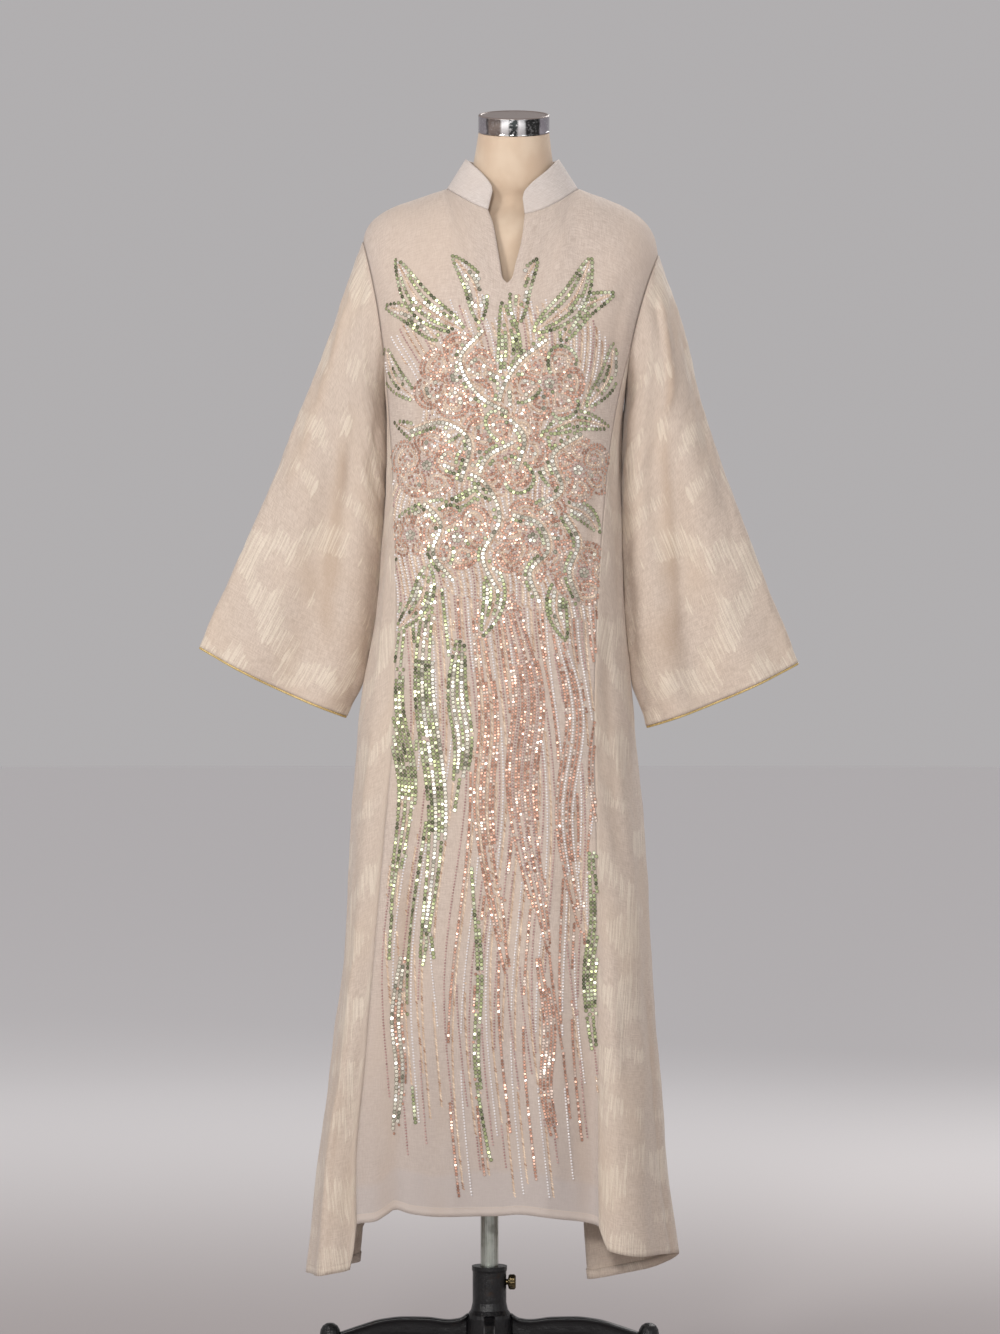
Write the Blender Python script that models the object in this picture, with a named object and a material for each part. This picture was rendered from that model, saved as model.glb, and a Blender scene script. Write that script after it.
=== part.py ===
"""A long abaya with flared sleeves, hung on a limbless dress form that stands on a cast base.

Metres, +Z up, the front faces -Y, +X is the viewer's right. The origin is on the floor, under the
middle of the whole outline. Every cloth piece is a thin wall that follows one smooth surface, so
neighbours meet with an even gap at their seams.
"""

import bisect
import collections
import functools
import math

import bmesh
import bpy
from mathutils import Matrix, Vector

# Driving dimensions.
WALL = 0.0014           # a cloth wall
COLLAR_WALL = 0.0024    # the collar is two plies and an interlining
EDGE_WALL = 0.0024      # the rolled gold edge of a cuff
LAYER = 0.0011          # a turn-up or facing that lies inside a panel
SEAM = 0.0003           # the gap between two pieces at a seam
YOKE = 0.14             # share of a panel's length that lies above the underarm
POLE_X = -0.0135        # the pole stands a little to the left of the outline's middle
LEAN = 0.0206           # the form leans this much sideways for each metre of height
LEAN_FROM = 0.15
UP = Vector((0, 0, 1))


def table(names, *rows):
    """Rows of numbers as columns with names."""
    return dict(zip(names.split(), zip(*rows)))


# The skirt's outline by height: half widths, depths, and how far out the front seams lie.
SECTIONS = table(
    "height left right front back seam_left seam_right middle",
    (0.190, 0.264, 0.249, 0.117, 0.142, 0.186, 0.134, 0.000),
    (0.350, 0.2455, 0.228, 0.120, 0.137, 0.190, 0.132, 0.000),
    (0.500, 0.2265, 0.215, 0.123, 0.130, 0.178, 0.131, 0.000),
    (0.650, 0.209, 0.2035, 0.125, 0.124, 0.166, 0.130, 0.000),
    (0.800, 0.202, 0.1925, 0.126, 0.118, 0.153, 0.129, 0.000),
    (0.950, 0.191, 0.1790, 0.127, 0.112, 0.141, 0.126, 0.001),
    (1.100, 0.1665, 0.1690, 0.128, 0.108, 0.138, 0.130, 0.003),
    (1.250, 0.1560, 0.1650, 0.129, 0.104, 0.142, 0.141, 0.006),
    (1.350, 0.1530, 0.1655, 0.130, 0.101, 0.147, 0.151, 0.008),
    (1.450, 0.1580, 0.1720, 0.127, 0.098, 0.150, 0.161, 0.009),
)
SECTION_POWER = 2.5     # 2 is an ellipse, more is boxier
BACK_SEAM = math.radians(138)

# Places around the skirt: -1 to 1 is the front panel, 1 to 2 a side panel, 2 to 3 half the back.
# A fold rises out of the ring or sinks into it, leans along it, and grows from its start to the hem.
FOLDS = table(
    "around reach out lean start power",
    (-1.17, 0.20, 0.032, 0.020, 1.15, 1.0),    # column over the front panel's left seam
    (-1.74, 0.20, -0.062, 0.000, 0.90, 1.3),   # tuck behind the left side
    (1.13, 0.20, 0.020, -0.016, 1.00, 1.0),    # column over the front panel's right seam
    (1.74, 0.23, -0.128, 0.000, 0.92, 1.3),    # deep tuck behind the right side
    (-0.58, 0.40, 0.007, 0.000, 0.90, 1.0),    # shallow waves of the front panel
    (-0.08, 0.34, -0.006, 0.000, 0.80, 1.0),
    (0.42, 0.40, 0.007, 0.000, 0.95, 1.0),
    (-2.30, 0.42, 0.022, 0.000, 1.20, 1.0),    # long soft folds of the back panel
    (-2.72, 0.34, -0.018, 0.000, 1.05, 1.0),
    (3.02, 0.40, 0.020, 0.000, 1.25, 1.0),
    (2.60, 0.34, -0.018, 0.000, 1.00, 1.0),
    (2.22, 0.34, 0.020, 0.000, 1.10, 1.0),
)
# The hem's height around the skirt.
HEM = table(
    "around height",
    (-3.00, 0.278), (-2.40, 0.276), (-2.08, 0.272), (-2.00, 0.262), (-1.96, 0.233), (-1.74, 0.218),
    (-1.50, 0.2105), (-1.30, 0.2135), (-1.20, 0.2165), (-1.10, 0.2205), (-1.03, 0.2250), (-1.00, 0.2845),
    (-0.88, 0.2885), (-0.80, 0.2980), (-0.73, 0.3060), (-0.60, 0.3010), (-0.40, 0.2970), (0.00, 0.298),
    (0.20, 0.3005), (0.60, 0.294),
    (1.00, 0.2835), (1.03, 0.2540), (1.10, 0.2470), (1.20, 0.2424), (1.30, 0.2410), (1.50, 0.2373),
    (1.62, 0.212), (1.74, 0.199), (1.88, 0.212), (1.96, 0.230), (2.00, 0.262), (2.08, 0.271),
    (2.40, 0.276), (3.00, 0.278),
)
# The slit at the front of the neck: how far each edge lies from its middle line.
SLIT = table(
    "along left right",
    (0.00, 0.0246, 0.0247), (0.22, 0.0178, 0.0228), (0.46, 0.0136, 0.0195),
    (0.75, 0.0089, 0.0118), (0.94, 0.0058, 0.0066), (1.00, 0.0, 0.0),
)
SLIT_END = 0.50         # share of the yoke's length that the slit takes
SLIT_SPREAD = 0.35      # how far across the panel the opening pushes the cloth

# The oval where the collar is sewn on, and the oval of the collar's top edge.
NECK = {"x": 0.0176, "half_width": 0.0892, "front": 0.083, "back": 0.056, "height": 1.6693, "arch": 0.0148}
COLLAR_TOP = {"x": 0.0172, "y": -0.010, "half_width": 0.0630, "front": 0.057, "back": 0.062}
NECK_SHARE = 0.45       # share of the yoke's top edge that is neckline
COLLAR_HEIGHT = 0.040
COLLAR_LIFT = 0.0012    # clear of the panels' edges, whose walls meet it at an angle
COLLAR_ENDS = {"left": (math.radians(21.8), 0.026), "right": (math.radians(10.4), 0.022)}
COLLAR_ROUND = math.radians(26)

# Shoulder line from the collar to the top of the armhole, with the corner that it turns at.
SHOULDERS = {
    "left": {"side": -1, "corner": Vector((-0.1800, 0, 1.6375)), "tip": Vector((-0.184, 0, 1.598)),
             "underarm": Vector((-0.1525, 0, 1.400))},
    "right": {"side": 1, "corner": Vector((0.2075, 0, 1.6370)), "tip": Vector((0.214, 0, 1.580)),
              "underarm": Vector((0.1700, 0, 1.410))},
}
YOKE_POWER = {True: 2.0, False: 2.6}    # how square the yoke's profile is at the front and the back
SHOULDER_TURN = 0.82    # how sharply the line turns at its corner
ARMHOLE_DEPTH = 0.061   # half the armhole's width, front to back
ARMHOLE_HOLLOW = 0.006  # how far its middle cuts in towards the chest
JOINT = math.radians(118)   # where on the armhole the front and back seams start

# Sleeves by share of their length: top edge, underarm edge, half thickness.
SLEEVES = {
    "left": table(
        "along out_x out_z in_x in_z half y",
        (0.0, 0.1840, 1.598, 0.1525, 1.400, 0.061, 0.000),
        (0.1, 0.2035, 1.541, 0.1640, 1.352, 0.056, -0.002),
        (0.2, 0.2230, 1.484, 0.1670, 1.306, 0.050, -0.004),
        (0.4, 0.2670, 1.371, 0.1715, 1.222, 0.041, -0.006),
        (0.6, 0.3110, 1.260, 0.1740, 1.138, 0.035, -0.006),
        (0.8, 0.3570, 1.157, 0.1815, 1.050, 0.032, -0.006),
        (1.0, 0.4033, 1.052, 0.2055, 0.959, 0.030, -0.006),
    ),
    "right": table(
        "along out_x out_z in_x in_z half y",
        (0.0, 0.2140, 1.580, 0.1700, 1.410, 0.061, 0.000),
        (0.1, 0.2310, 1.529, 0.1800, 1.366, 0.056, -0.002),
        (0.2, 0.2485, 1.477, 0.1820, 1.318, 0.050, -0.004),
        (0.4, 0.2750, 1.370, 0.1760, 1.232, 0.041, -0.006),
        (0.6, 0.3165, 1.250, 0.1760, 1.140, 0.035, -0.006),
        (0.8, 0.3575, 1.141, 0.1800, 1.047, 0.032, -0.006),
        (1.0, 0.4019, 1.031, 0.2000, 0.946, 0.030, -0.006),
    ),
}
# Long folds of a sleeve: where around it (0 top edge, 0.5 underarm, front first), depth and growth.
SLEEVE_FOLDS = table(
    "around reach out start",
    (0.17, 0.09, 0.007, 0.05), (0.27, 0.08, -0.011, 0.10), (0.36, 0.08, 0.006, 0.20),
    (0.62, 0.09, -0.009, 0.15), (0.72, 0.09, 0.008, 0.10), (0.84, 0.09, -0.008, 0.20),
)
CUFF_SAG = 0.006        # the cuff's edge bows down between its corners
SLEEVE_GAP = {"top": 0.0008, "middle": 0.0013, "bottom": 0.0013}

HEM_DEPTH = 0.013
CUFF_EDGE = 0.0028
FACING_ROWS = 8         # the facing reaches this many of the front panel's rows down

# The dress form by height: half width, depths to front and back, how far forward it sits, its tilt,
# and the section's power, where 2 is an ellipse and less draws the shoulders out into a ridge.
FORM = table(
    "height half_width front back forward tilt power",
    (0.8400, 0.1350, 0.0850, 0.0880, 0.000, 0.0, 2.2),
    (0.8560, 0.1460, 0.0940, 0.0960, 0.000, 0.0, 2.2),
    (0.9400, 0.1500, 0.0980, 0.1000, 0.000, 0.0, 2.2),
    (1.0200, 0.1440, 0.0940, 0.0940, 0.000, 0.0, 2.2),
    (1.1300, 0.1160, 0.0840, 0.0780, 0.000, 0.0, 2.1),
    (1.2300, 0.1260, 0.0940, 0.0800, 0.000, 0.0, 2.1),
    (1.3400, 0.1410, 0.1140, 0.0840, 0.000, 0.0, 2.1),
    (1.4000, 0.1440, 0.1120, 0.0860, 0.000, 0.0, 2.1),
    (1.4700, 0.1520, 0.0980, 0.0860, 0.000, 0.0, 2.1),
    (1.5400, 0.1650, 0.0840, 0.0760, 0.000, 0.0, 2.0),
    (1.5900, 0.1710, 0.0720, 0.0650, 0.000, 0.0, 1.8),
    (1.6220, 0.1650, 0.0640, 0.0590, 0.000, 0.0, 1.5),
    (1.6355, 0.1550, 0.0580, 0.0550, 0.000, 0.0, 1.35),
    (1.6458, 0.1440, 0.0550, 0.0510, 0.000, 0.5, 1.3),
    (1.6531, 0.1300, 0.0540, 0.0470, 0.000, 1.0, 1.3),
    (1.6602, 0.1100, 0.0535, 0.0450, 0.001, 2.0, 1.4),
    (1.6668, 0.0815, 0.0535, 0.0450, 0.003, 3.0, 1.6),
    (1.6724, 0.0665, 0.0535, 0.0470, 0.004, 4.0, 1.8),
    (1.6850, 0.0590, 0.0530, 0.0510, 0.006, 6.0, 2.0),
    (1.7050, 0.0535, 0.0515, 0.0500, 0.010, 10.0, 2.0),
    (1.7443, 0.0475, 0.0475, 0.0475, 0.019, 14.0, 2.0),
)
FORM_DROP = 0.005       # the lean also lowers the right shoulder a little
CAP = {"radius": 0.0479, "height": 0.0240, "bevel": 0.0020, "tilt": math.radians(14)}

# The stand.
POLE_RADIUS = 0.0120
POLE_FOOT = 0.100
FORM_FOOT = 0.840
RUNNING = 0.0004        # clearance of the pole in its sockets
BOSS = {"radius": 0.030, "height": 0.050, "flange": 0.062, "flange_height": 0.008}
HUB = table(
    "height radius",
    (0.2170, 0.0238), (0.2120, 0.0238), (0.2090, 0.0228), (0.1680, 0.0228), (0.1580, 0.0250),
    (0.1520, 0.0292), (0.1470, 0.0300), (0.1180, 0.0300),
)
SCREW = {"height": 0.195, "shank": 0.0040, "hole": 0.0044, "knob_radius": 0.0100, "knob_start": 0.0246,
         "knob_end": 0.0355, "grips": 10}
LEG = table(
    "along top depth",
    (0.0305, 0.1520, 0.032), (0.0400, 0.1462, 0.028), (0.0550, 0.1443, 0.026), (0.0850, 0.1475, 0.026),
    (0.1150, 0.1480, 0.025), (0.1450, 0.1448, 0.024), (0.1750, 0.1362, 0.022), (0.2005, 0.1275, 0.021),
)
LEG_WEB = 0.0040        # half thickness of a leg's web, its flange and the flange's height
LEG_FLANGE = 0.0075
LEG_RIM = 0.0045
FOOT = table(
    "height radius",
    (0.1400, 0.0000), (0.1392, 0.0050), (0.1362, 0.0098), (0.1310, 0.0130), (0.1250, 0.0140),
    (0.0980, 0.0140), (0.0900, 0.0115), (0.0300, 0.0115), (0.0180, 0.0190), (0.0030, 0.0205),
    (0.0000, 0.0190), (0.0000, 0.0000),
)
FOOT_REACH = 0.2150
SIDES = {"left": math.pi, "right": 0.0, "front": -math.pi / 2, "back": math.pi / 2}

COLOURS = {
    "plain_cloth": ((0.69, 0.58, 0.51), 0.85, 0.0),
    "jacquard": ((0.66, 0.54, 0.42), 0.75, 0.0),
    "gold_edge": ((0.66, 0.50, 0.24), 0.55, 0.2),
    "jersey": ((0.78, 0.63, 0.43), 0.90, 0.0),
    "chrome": ((0.62, 0.63, 0.64), 0.15, 1.0),
    "wood": ((0.45, 0.32, 0.20), 0.70, 0.0),
    "aluminium": ((0.52, 0.55, 0.51), 0.35, 1.0),
    "cast_iron": ((0.012, 0.012, 0.013), 0.38, 0.6),
    "brass": ((0.40, 0.30, 0.13), 0.40, 1.0),
}


def clear_scene():
    for thing in list(bpy.data.objects):
        bpy.data.objects.remove(thing)


def lerp(start, end, share):
    return start + (end - start) * share


def smooth(value):
    """0 below 0, 1 above 1, with an even slope at both ends."""
    value = min(max(value, 0.0), 1.0)
    return value * value * (3 - 2 * value)


def slopes(places, values):
    """Slopes of a smooth curve through the values that never overshoots them."""
    steps = [(values[i + 1] - values[i]) / (places[i + 1] - places[i]) for i in range(len(places) - 1)]
    found = [steps[0]]
    for before, after in zip(steps, steps[1:]):
        found.append(0.0 if before * after <= 0 else 2 * before * after / (before + after))
    return found + [steps[-1]]


def read(columns, name, key, value):
    """One column of a table at a value of its key column, read along a smooth curve."""
    places, values = columns[key], columns[name]
    if places[0] > places[-1]:
        places, values = places[::-1], values[::-1]
    value = min(max(value, places[0]), places[-1])
    found = slopes(places, values)
    at = max(i for i in range(len(places) - 1) if places[i] <= value)
    span = places[at + 1] - places[at]
    share = (value - places[at]) / span
    return (values[at] * (1 + 2 * share) * (1 - share) ** 2
            + found[at] * span * share * (1 - share) ** 2
            + values[at + 1] * share ** 2 * (3 - 2 * share)
            + found[at + 1] * span * share ** 2 * (share - 1))


def rows_of(columns):
    """The table's rows again, each as a dictionary."""
    return [dict(zip(columns, row)) for row in zip(*columns.values())]


def wrap(around):
    """A place around the skirt, brought into -3 to 3."""
    return (around + 3) % 6 - 3


def side_name(around):
    return "left" if around < 0 else "right"


def ring(around, height):
    """The skirt's plain section, with no folds."""
    around = wrap(around)
    side = side_name(around)
    sign = -1 if around < 0 else 1
    width, seam, middle, front, back = (
        read(SECTIONS, name, "height", height)
        for name in (side, "seam_" + side, "middle", "front", "back"))
    place = abs(around)
    if 1 < place < 2:
        start = math.asin((seam / width) ** (SECTION_POWER / 2))
        angle = lerp(start, BACK_SEAM, place - 1)
        x = sign * width * math.sin(angle) ** (2 / SECTION_POWER)
        depth = abs(math.cos(angle)) ** (2 / SECTION_POWER)
        return Vector((x, -front * depth if math.cos(angle) > 0 else back * depth, height))
    if place <= 1:
        x = lerp(middle, sign * seam, place)
        depth = -front
    else:
        x = sign * width * math.sin(BACK_SEAM) ** (2 / SECTION_POWER) * (3 - place)
        depth = back
    share = (1 - abs(x / width) ** SECTION_POWER) ** (1 / SECTION_POWER)
    return Vector((x, depth * share, height))


def fold_rows():
    """The folds, each with one direction for all of its cloth, so that a deep one stays open."""
    found = rows_of(FOLDS)
    for fold in found:
        run = ring(fold["around"] + 0.01, 0.35) - ring(fold["around"] - 0.01, 0.35)
        fold["run"] = run.normalized()
        fold["outward"] = Vector((run.y, -run.x, 0)).normalized()
    return found


FOLD_ROWS = fold_rows()
LOWEST = min(HEM["height"])


def folded(around, height):
    """The skirt's section with its folds."""
    point = ring(around, height)
    for fold in FOLD_ROWS:
        gap = wrap(around - fold["around"]) / fold["reach"]
        if abs(gap) >= 1 or height >= fold["start"]:
            continue
        grown = smooth((fold["start"] - height) / (fold["start"] - LOWEST)) ** fold["power"]
        ridge = math.cos(math.pi / 2 * gap) ** 2 * grown
        point += (fold["outward"] * fold["out"] + fold["run"] * fold["lean"]) * ridge
    return point


def armhole(side, angle):
    """The armhole's curve: 0 at the shoulder, pi at the underarm, positive angles at the front."""
    shoulder = SHOULDERS[side]
    place = lerp(shoulder["tip"], shoulder["underarm"], (1 - math.cos(angle)) / 2)
    hollow = -shoulder["side"] * ARMHOLE_HOLLOW * math.sin(angle) ** 2
    return place + Vector((hollow, -ARMHOLE_DEPTH * math.sin(angle), 0))


def top_height(around):
    """Where the ring-shaped part of the body starts: level across the front and the back, and
    along the armhole under the arm."""
    around = wrap(around)
    place = abs(around)
    if 1 < place < 2:
        return armhole(side_name(around), lerp(JOINT, 2 * math.pi - JOINT, place - 1)).z
    share = around if place <= 1 else math.copysign(3 - place, around)
    return lerp(armhole("left", JOINT).z, armhole("right", JOINT).z, (share + 1) / 2)


def underarm_pull(around, share):
    """How far the armhole draws the cloth just under it, fading downwards."""
    around = wrap(around)
    side = side_name(around)
    place = abs(around)
    fade = max(0.0, 1 - share / 0.14) ** 2
    if fade == 0:
        return Vector()
    if 1 <= place <= 2:
        edge = armhole(side, lerp(JOINT, 2 * math.pi - JOINT, place - 1))
        return (edge - folded(around, edge.z)) * fade
    near = smooth((place - 0.5) / 0.5) if place < 1 else smooth((2.5 - place) / 0.5)
    edge = armhole(side, JOINT if place < 1 else -JOINT)
    seam = math.copysign(1 if place < 1 else 2, around)
    return (edge - folded(seam, edge.z)) * fade * near


def skirt(around, share):
    """The body below the yoke: share 0 at the underarm level, 1 at the hem."""
    height = lerp(top_height(around), read(HEM, "height", "around", wrap(around)), share)
    return folded(around, height) + underarm_pull(around, share)


def shoulder_line(side, share):
    """From the side of the neck to the armhole's top."""
    shoulder = SHOULDERS[side]
    start = Vector((NECK["x"] + shoulder["side"] * NECK["half_width"], 0, NECK["height"]))
    end, corner = shoulder["tip"], shoulder["corner"]
    first, second = lerp(start, corner, SHOULDER_TURN), lerp(end, corner, SHOULDER_TURN)
    rest = 1 - share
    return (start * rest ** 3 + first * 3 * rest ** 2 * share
            + second * 3 * rest * share ** 2 + end * share ** 3)


@functools.lru_cache(maxsize=None)
def ridge_line(side):
    """The shoulder's ridge from the middle of the neck, where it is a low arch inside the neckline,
    to the armhole: its points and how far along it each of them lies."""
    sign = SHOULDERS[side]["side"]
    points = [Vector((NECK["x"] + sign * NECK["half_width"] * share, 0,
                      NECK["height"] + NECK["arch"] * (1 - share * share))) for share in shares(30)]
    points += [shoulder_line(side, share) for share in shares(90)[1:]]
    along = [0.0]
    for before, after in zip(points, points[1:]):
        along.append(along[-1] + (after - before).length)
    return points, along


def ridge(side, across):
    points, along = ridge_line(side)
    target = min(max(across, 0.0), 1.0) * along[-1]
    at = min(bisect.bisect_right(along, target), len(along) - 1)
    return lerp(points[at - 1], points[at], (target - along[at - 1]) / (along[at] - along[at - 1]))


def neck_across(side):
    """Where along the ridge the neckline crosses it."""
    along = ridge_line(side)[1]
    return along[30] / along[-1]


def yoke(side, across, turn, front):
    """The body above the underarm: across from its middle, turn from the ridge to the underarm
    level, a quarter of a circle. Every profile leaves the ridge level and arrives upright."""
    if across < 0:
        side, across = "right" if side == "left" else "left", -across
    sign = -1 if side == "left" else 1
    around = sign * (across if front else 3 - across)
    end = folded(around, top_height(around))
    top = ridge(side, across)
    power = 2 / YOKE_POWER[front]
    return Vector((end.x + (top.x - end.x) * max(math.cos(turn), 0.0) ** 2, end.y * math.sin(turn) ** power,
                   end.z + (top.z - end.z) * max(math.cos(turn), 0.0) ** power))


@functools.lru_cache(maxsize=None)
def yoke_place(side, x, y):
    """Across and turn of the yoke's point that has this x and y."""
    sign, front = SHOULDERS[side]["side"], y <= 0
    low, high = -0.3, 1.0
    for _ in range(30):
        across = (low + high) / 2
        depth = abs(yoke(side, across, math.pi / 2, front).y)
        turn = math.asin(min(abs(y) / depth, 1.0) ** (YOKE_POWER[front] / 2))
        if (yoke(side, across, turn, front).x - x) * sign > 0:
            high = across
        else:
            low = across
    return across, turn


def neck_place(angle):
    """Side, across and turn of the neckline: 0 at the front, half a turn at the back, left first."""
    side = "left" if math.sin(angle) > 0 else "right"
    reach = NECK["front"] if math.cos(angle) > 0 else NECK["back"]
    x = NECK["x"] - NECK["half_width"] * math.sin(angle)
    y = -reach * math.cos(angle)
    return (side, y <= 0, *yoke_place(side, round(x, 9), round(y, 9)))


def neck_oval(angle):
    """Where the collar is sewn on."""
    side, front, across, turn = neck_place(angle)
    return yoke(side, across, turn, front)


def start_place(side, place, front):
    """Across and turn of the panel's top edge from the middle (0) to the armhole (1)."""
    if place >= NECK_SHARE:
        return lerp(neck_across(side), 1.0, (place - NECK_SHARE) / (1 - NECK_SHARE)), 0.0
    start = COLLAR_ENDS[side][0] if front else math.pi
    angle = lerp(start, math.pi / 2, place / NECK_SHARE)
    found_side, _, across, turn = neck_place(angle if side == "left" else -angle)
    return (across if found_side == side else -across), turn


def fall(side, place, share, front):
    """One line of the yoke from its top edge down to the underarm level."""
    across, turn = start_place(side, place, front)
    return yoke(side, lerp(across, place, smooth(share)), lerp(turn, math.pi / 2, share), front)


def to_armhole(side, place, share, front):
    """What moves a yoke line near the armhole so that its edge is the armhole's curve."""
    near = smooth((place - 0.5) / 0.5)
    if near == 0:
        return Vector()
    edge = armhole(side, JOINT * share if front else -JOINT * share)
    return (edge - fall(side, 1.0, share, front)) * near


def slit_edge(side, share):
    """The slit's edge, and below its end the middle line of the front."""
    depth = abs(yoke(side, 0.0, math.pi / 2, True).y)
    start = math.asin((NECK["front"] / depth) ** (YOKE_POWER[True] / 2))
    along = min(share / SLIT_END, 1.0)
    sign = -1 if side == "left" else 1
    opened = Vector((sign * read(SLIT, side, "along", along), 0, 0))
    first = Vector((sign * read(SLIT, side, "along", 0.0), 0, 0)) + yoke(side, 0.0, start, True)
    top = fall(side, 0.0, 0.0, True) - first
    return yoke(side, 0.0, lerp(start, math.pi / 2, share), True) + opened + top * (1 - along)


def front_point(side, place, down):
    """The front panel's outer face, from the middle (0) to the seam (1)."""
    sign = -1 if side == "left" else 1
    if down >= YOKE:
        return skirt(sign * place, (down - YOKE) / (1 - YOKE)) if place or sign > 0 else skirt(
            0.0, (down - YOKE) / (1 - YOKE))
    share = down / YOKE
    point = fall(side, place, share, True) + to_armhole(side, place, share, True)
    if place < SLIT_SPREAD:
        pull = (1 - place / SLIT_SPREAD) ** 2
        point += (slit_edge(side, share) - fall(side, 0.0, share, True)) * pull
    return point


def back_point(side, place, down):
    """The back panel's outer face, from the middle (0) to the seam (1)."""
    sign = -1 if side == "left" else 1
    if down >= YOKE:
        return skirt(sign * (3 - place), (down - YOKE) / (1 - YOKE))
    share = down / YOKE
    return fall(side, place, share, False) + to_armhole(side, place, share, False)


def side_point(side, place, down):
    """A side panel's outer face, from its front seam (0) to its back seam (1)."""
    sign = -1 if side == "left" else 1
    return skirt(sign * (1 + place), down)


def sleeve_point(side, turn, along):
    """A sleeve's outer face: turn 0 at the top edge, 0.5 at the underarm, the front half first."""
    columns = SLEEVES[side]
    sign = SHOULDERS[side]["side"]
    angle = 2 * math.pi * turn
    outer = Vector((sign * read(columns, "out_x", "along", along), 0, read(columns, "out_z", "along", along)))
    inner = Vector((sign * read(columns, "in_x", "along", along), 0, read(columns, "in_z", "along", along)))
    half = read(columns, "half", "along", along)
    point = lerp(outer, inner, (1 - math.cos(angle)) / 2)
    point.y = read(columns, "y", "along", along) - half * math.sin(angle)
    for fold in rows_of(SLEEVE_FOLDS):
        gap = (turn - fold["around"]) / fold["reach"]
        if abs(gap) < 1 and along > fold["start"]:
            grown = smooth((along - fold["start"]) / 0.5)
            forward = -1 if turn < 0.5 else 1
            point.y += forward * fold["out"] * math.cos(math.pi / 2 * gap) ** 2 * grown
    sag = CUFF_SAG * math.sin(angle) ** 2 * smooth((along - 0.6) / 0.4)
    point.z -= sag
    near = max(0.0, 1 - along / 0.12) ** 2
    if near:
        hollow = -sign * ARMHOLE_HOLLOW * math.sin(angle) ** 2
        point.x += hollow * near
    gap = lerp(SLEEVE_GAP["top"], SLEEVE_GAP["middle"], math.sin(angle / 2) ** 2 * 2)
    if math.cos(angle) < 0:
        gap = lerp(SLEEVE_GAP["middle"], SLEEVE_GAP["bottom"], -math.cos(angle))
    point.x += sign * gap * max(0.0, 1 - along / 0.2)
    return point


def collar_height(angle):
    """The collar's height around the neck, rounded off at its two front corners."""
    left, right = COLLAR_ENDS["left"], COLLAR_ENDS["right"]
    start, end = left[0], 2 * math.pi - right[0]
    near_left = min((angle - start) / COLLAR_ROUND, 1)
    near_right = min((end - angle) / COLLAR_ROUND, 1)
    if near_left < 1:
        return lerp(left[1], COLLAR_HEIGHT, math.sqrt(1 - (1 - near_left) ** 2))
    if near_right < 1:
        return lerp(right[1], COLLAR_HEIGHT, math.sqrt(1 - (1 - near_right) ** 2))
    return COLLAR_HEIGHT


def collar_point(angle, up):
    """The collar's outer face: up 0 on the neckline, 1 on its top edge."""
    base = neck_oval(angle)
    turn = math.cos(angle)
    reach = COLLAR_TOP["front"] if turn > 0 else COLLAR_TOP["back"]
    full = Vector((COLLAR_TOP["x"] - COLLAR_TOP["half_width"] * math.sin(angle),
                   COLLAR_TOP["y"] - reach * turn, base.z + COLLAR_HEIGHT))
    share = up * collar_height(angle) / COLLAR_HEIGHT
    point = lerp(base, full, share)
    return point + (full - base).normalized() * COLLAR_LIFT * (1 - up)


def form_point(angle, height):
    """The dress form's skin."""
    width, front, back, forward, tilt, power = (
        read(FORM, name, "height", height)
        for name in ("half_width", "front", "back", "forward", "tilt", "power"))
    across, turn = math.sin(angle), math.cos(angle)
    aside = math.copysign(width * abs(across) ** (2 / power), across)
    x = POLE_X + LEAN * (height - LEAN_FROM) + aside
    y = -math.copysign((front if turn > 0 else back) * abs(turn) ** (2 / power), turn)
    slope = math.radians(tilt)
    height -= FORM_DROP * aside * smooth((height - 1.0) / 0.5) * smooth((width - 0.06) / 0.04)
    return Vector((x, -forward + y * math.cos(slope), height + y * math.sin(slope)))


def finish(name):
    """The Principled material of that name, made once."""
    made = bpy.data.materials.get(name)
    if made:
        return made
    colour, roughness, metallic = COLOURS[name]
    made = bpy.data.materials.new(name)
    made.use_nodes = True
    shader = made.node_tree.nodes["Principled BSDF"]
    shader.inputs["Base Color"].default_value = (*colour, 1)
    shader.inputs["Roughness"].default_value = roughness
    shader.inputs["Metallic"].default_value = metallic
    made.diffuse_color = (*colour, 1)
    return made


def new_object(name, mesh, material, smooth_angle=math.radians(40)):
    mesh.polygons.foreach_set("use_smooth", [True] * len(mesh.polygons))
    mesh.set_sharp_from_angle(angle=smooth_angle)
    mesh.materials.append(finish(material))
    made = bpy.data.objects.new(name, mesh)
    bpy.context.scene.collection.objects.link(made)
    return made


def solid(name, points, faces, material):
    """A closed mesh object from points and faces, turned to face outwards."""
    work = bmesh.new()
    made = [work.verts.new(point) for point in points]
    for face in faces:
        work.faces.new([made[i] for i in face])
    bmesh.ops.recalc_face_normals(work, faces=work.faces)
    mesh = bpy.data.meshes.new(name)
    work.to_mesh(mesh)
    work.free()
    return new_object(name, mesh, material)


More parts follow.
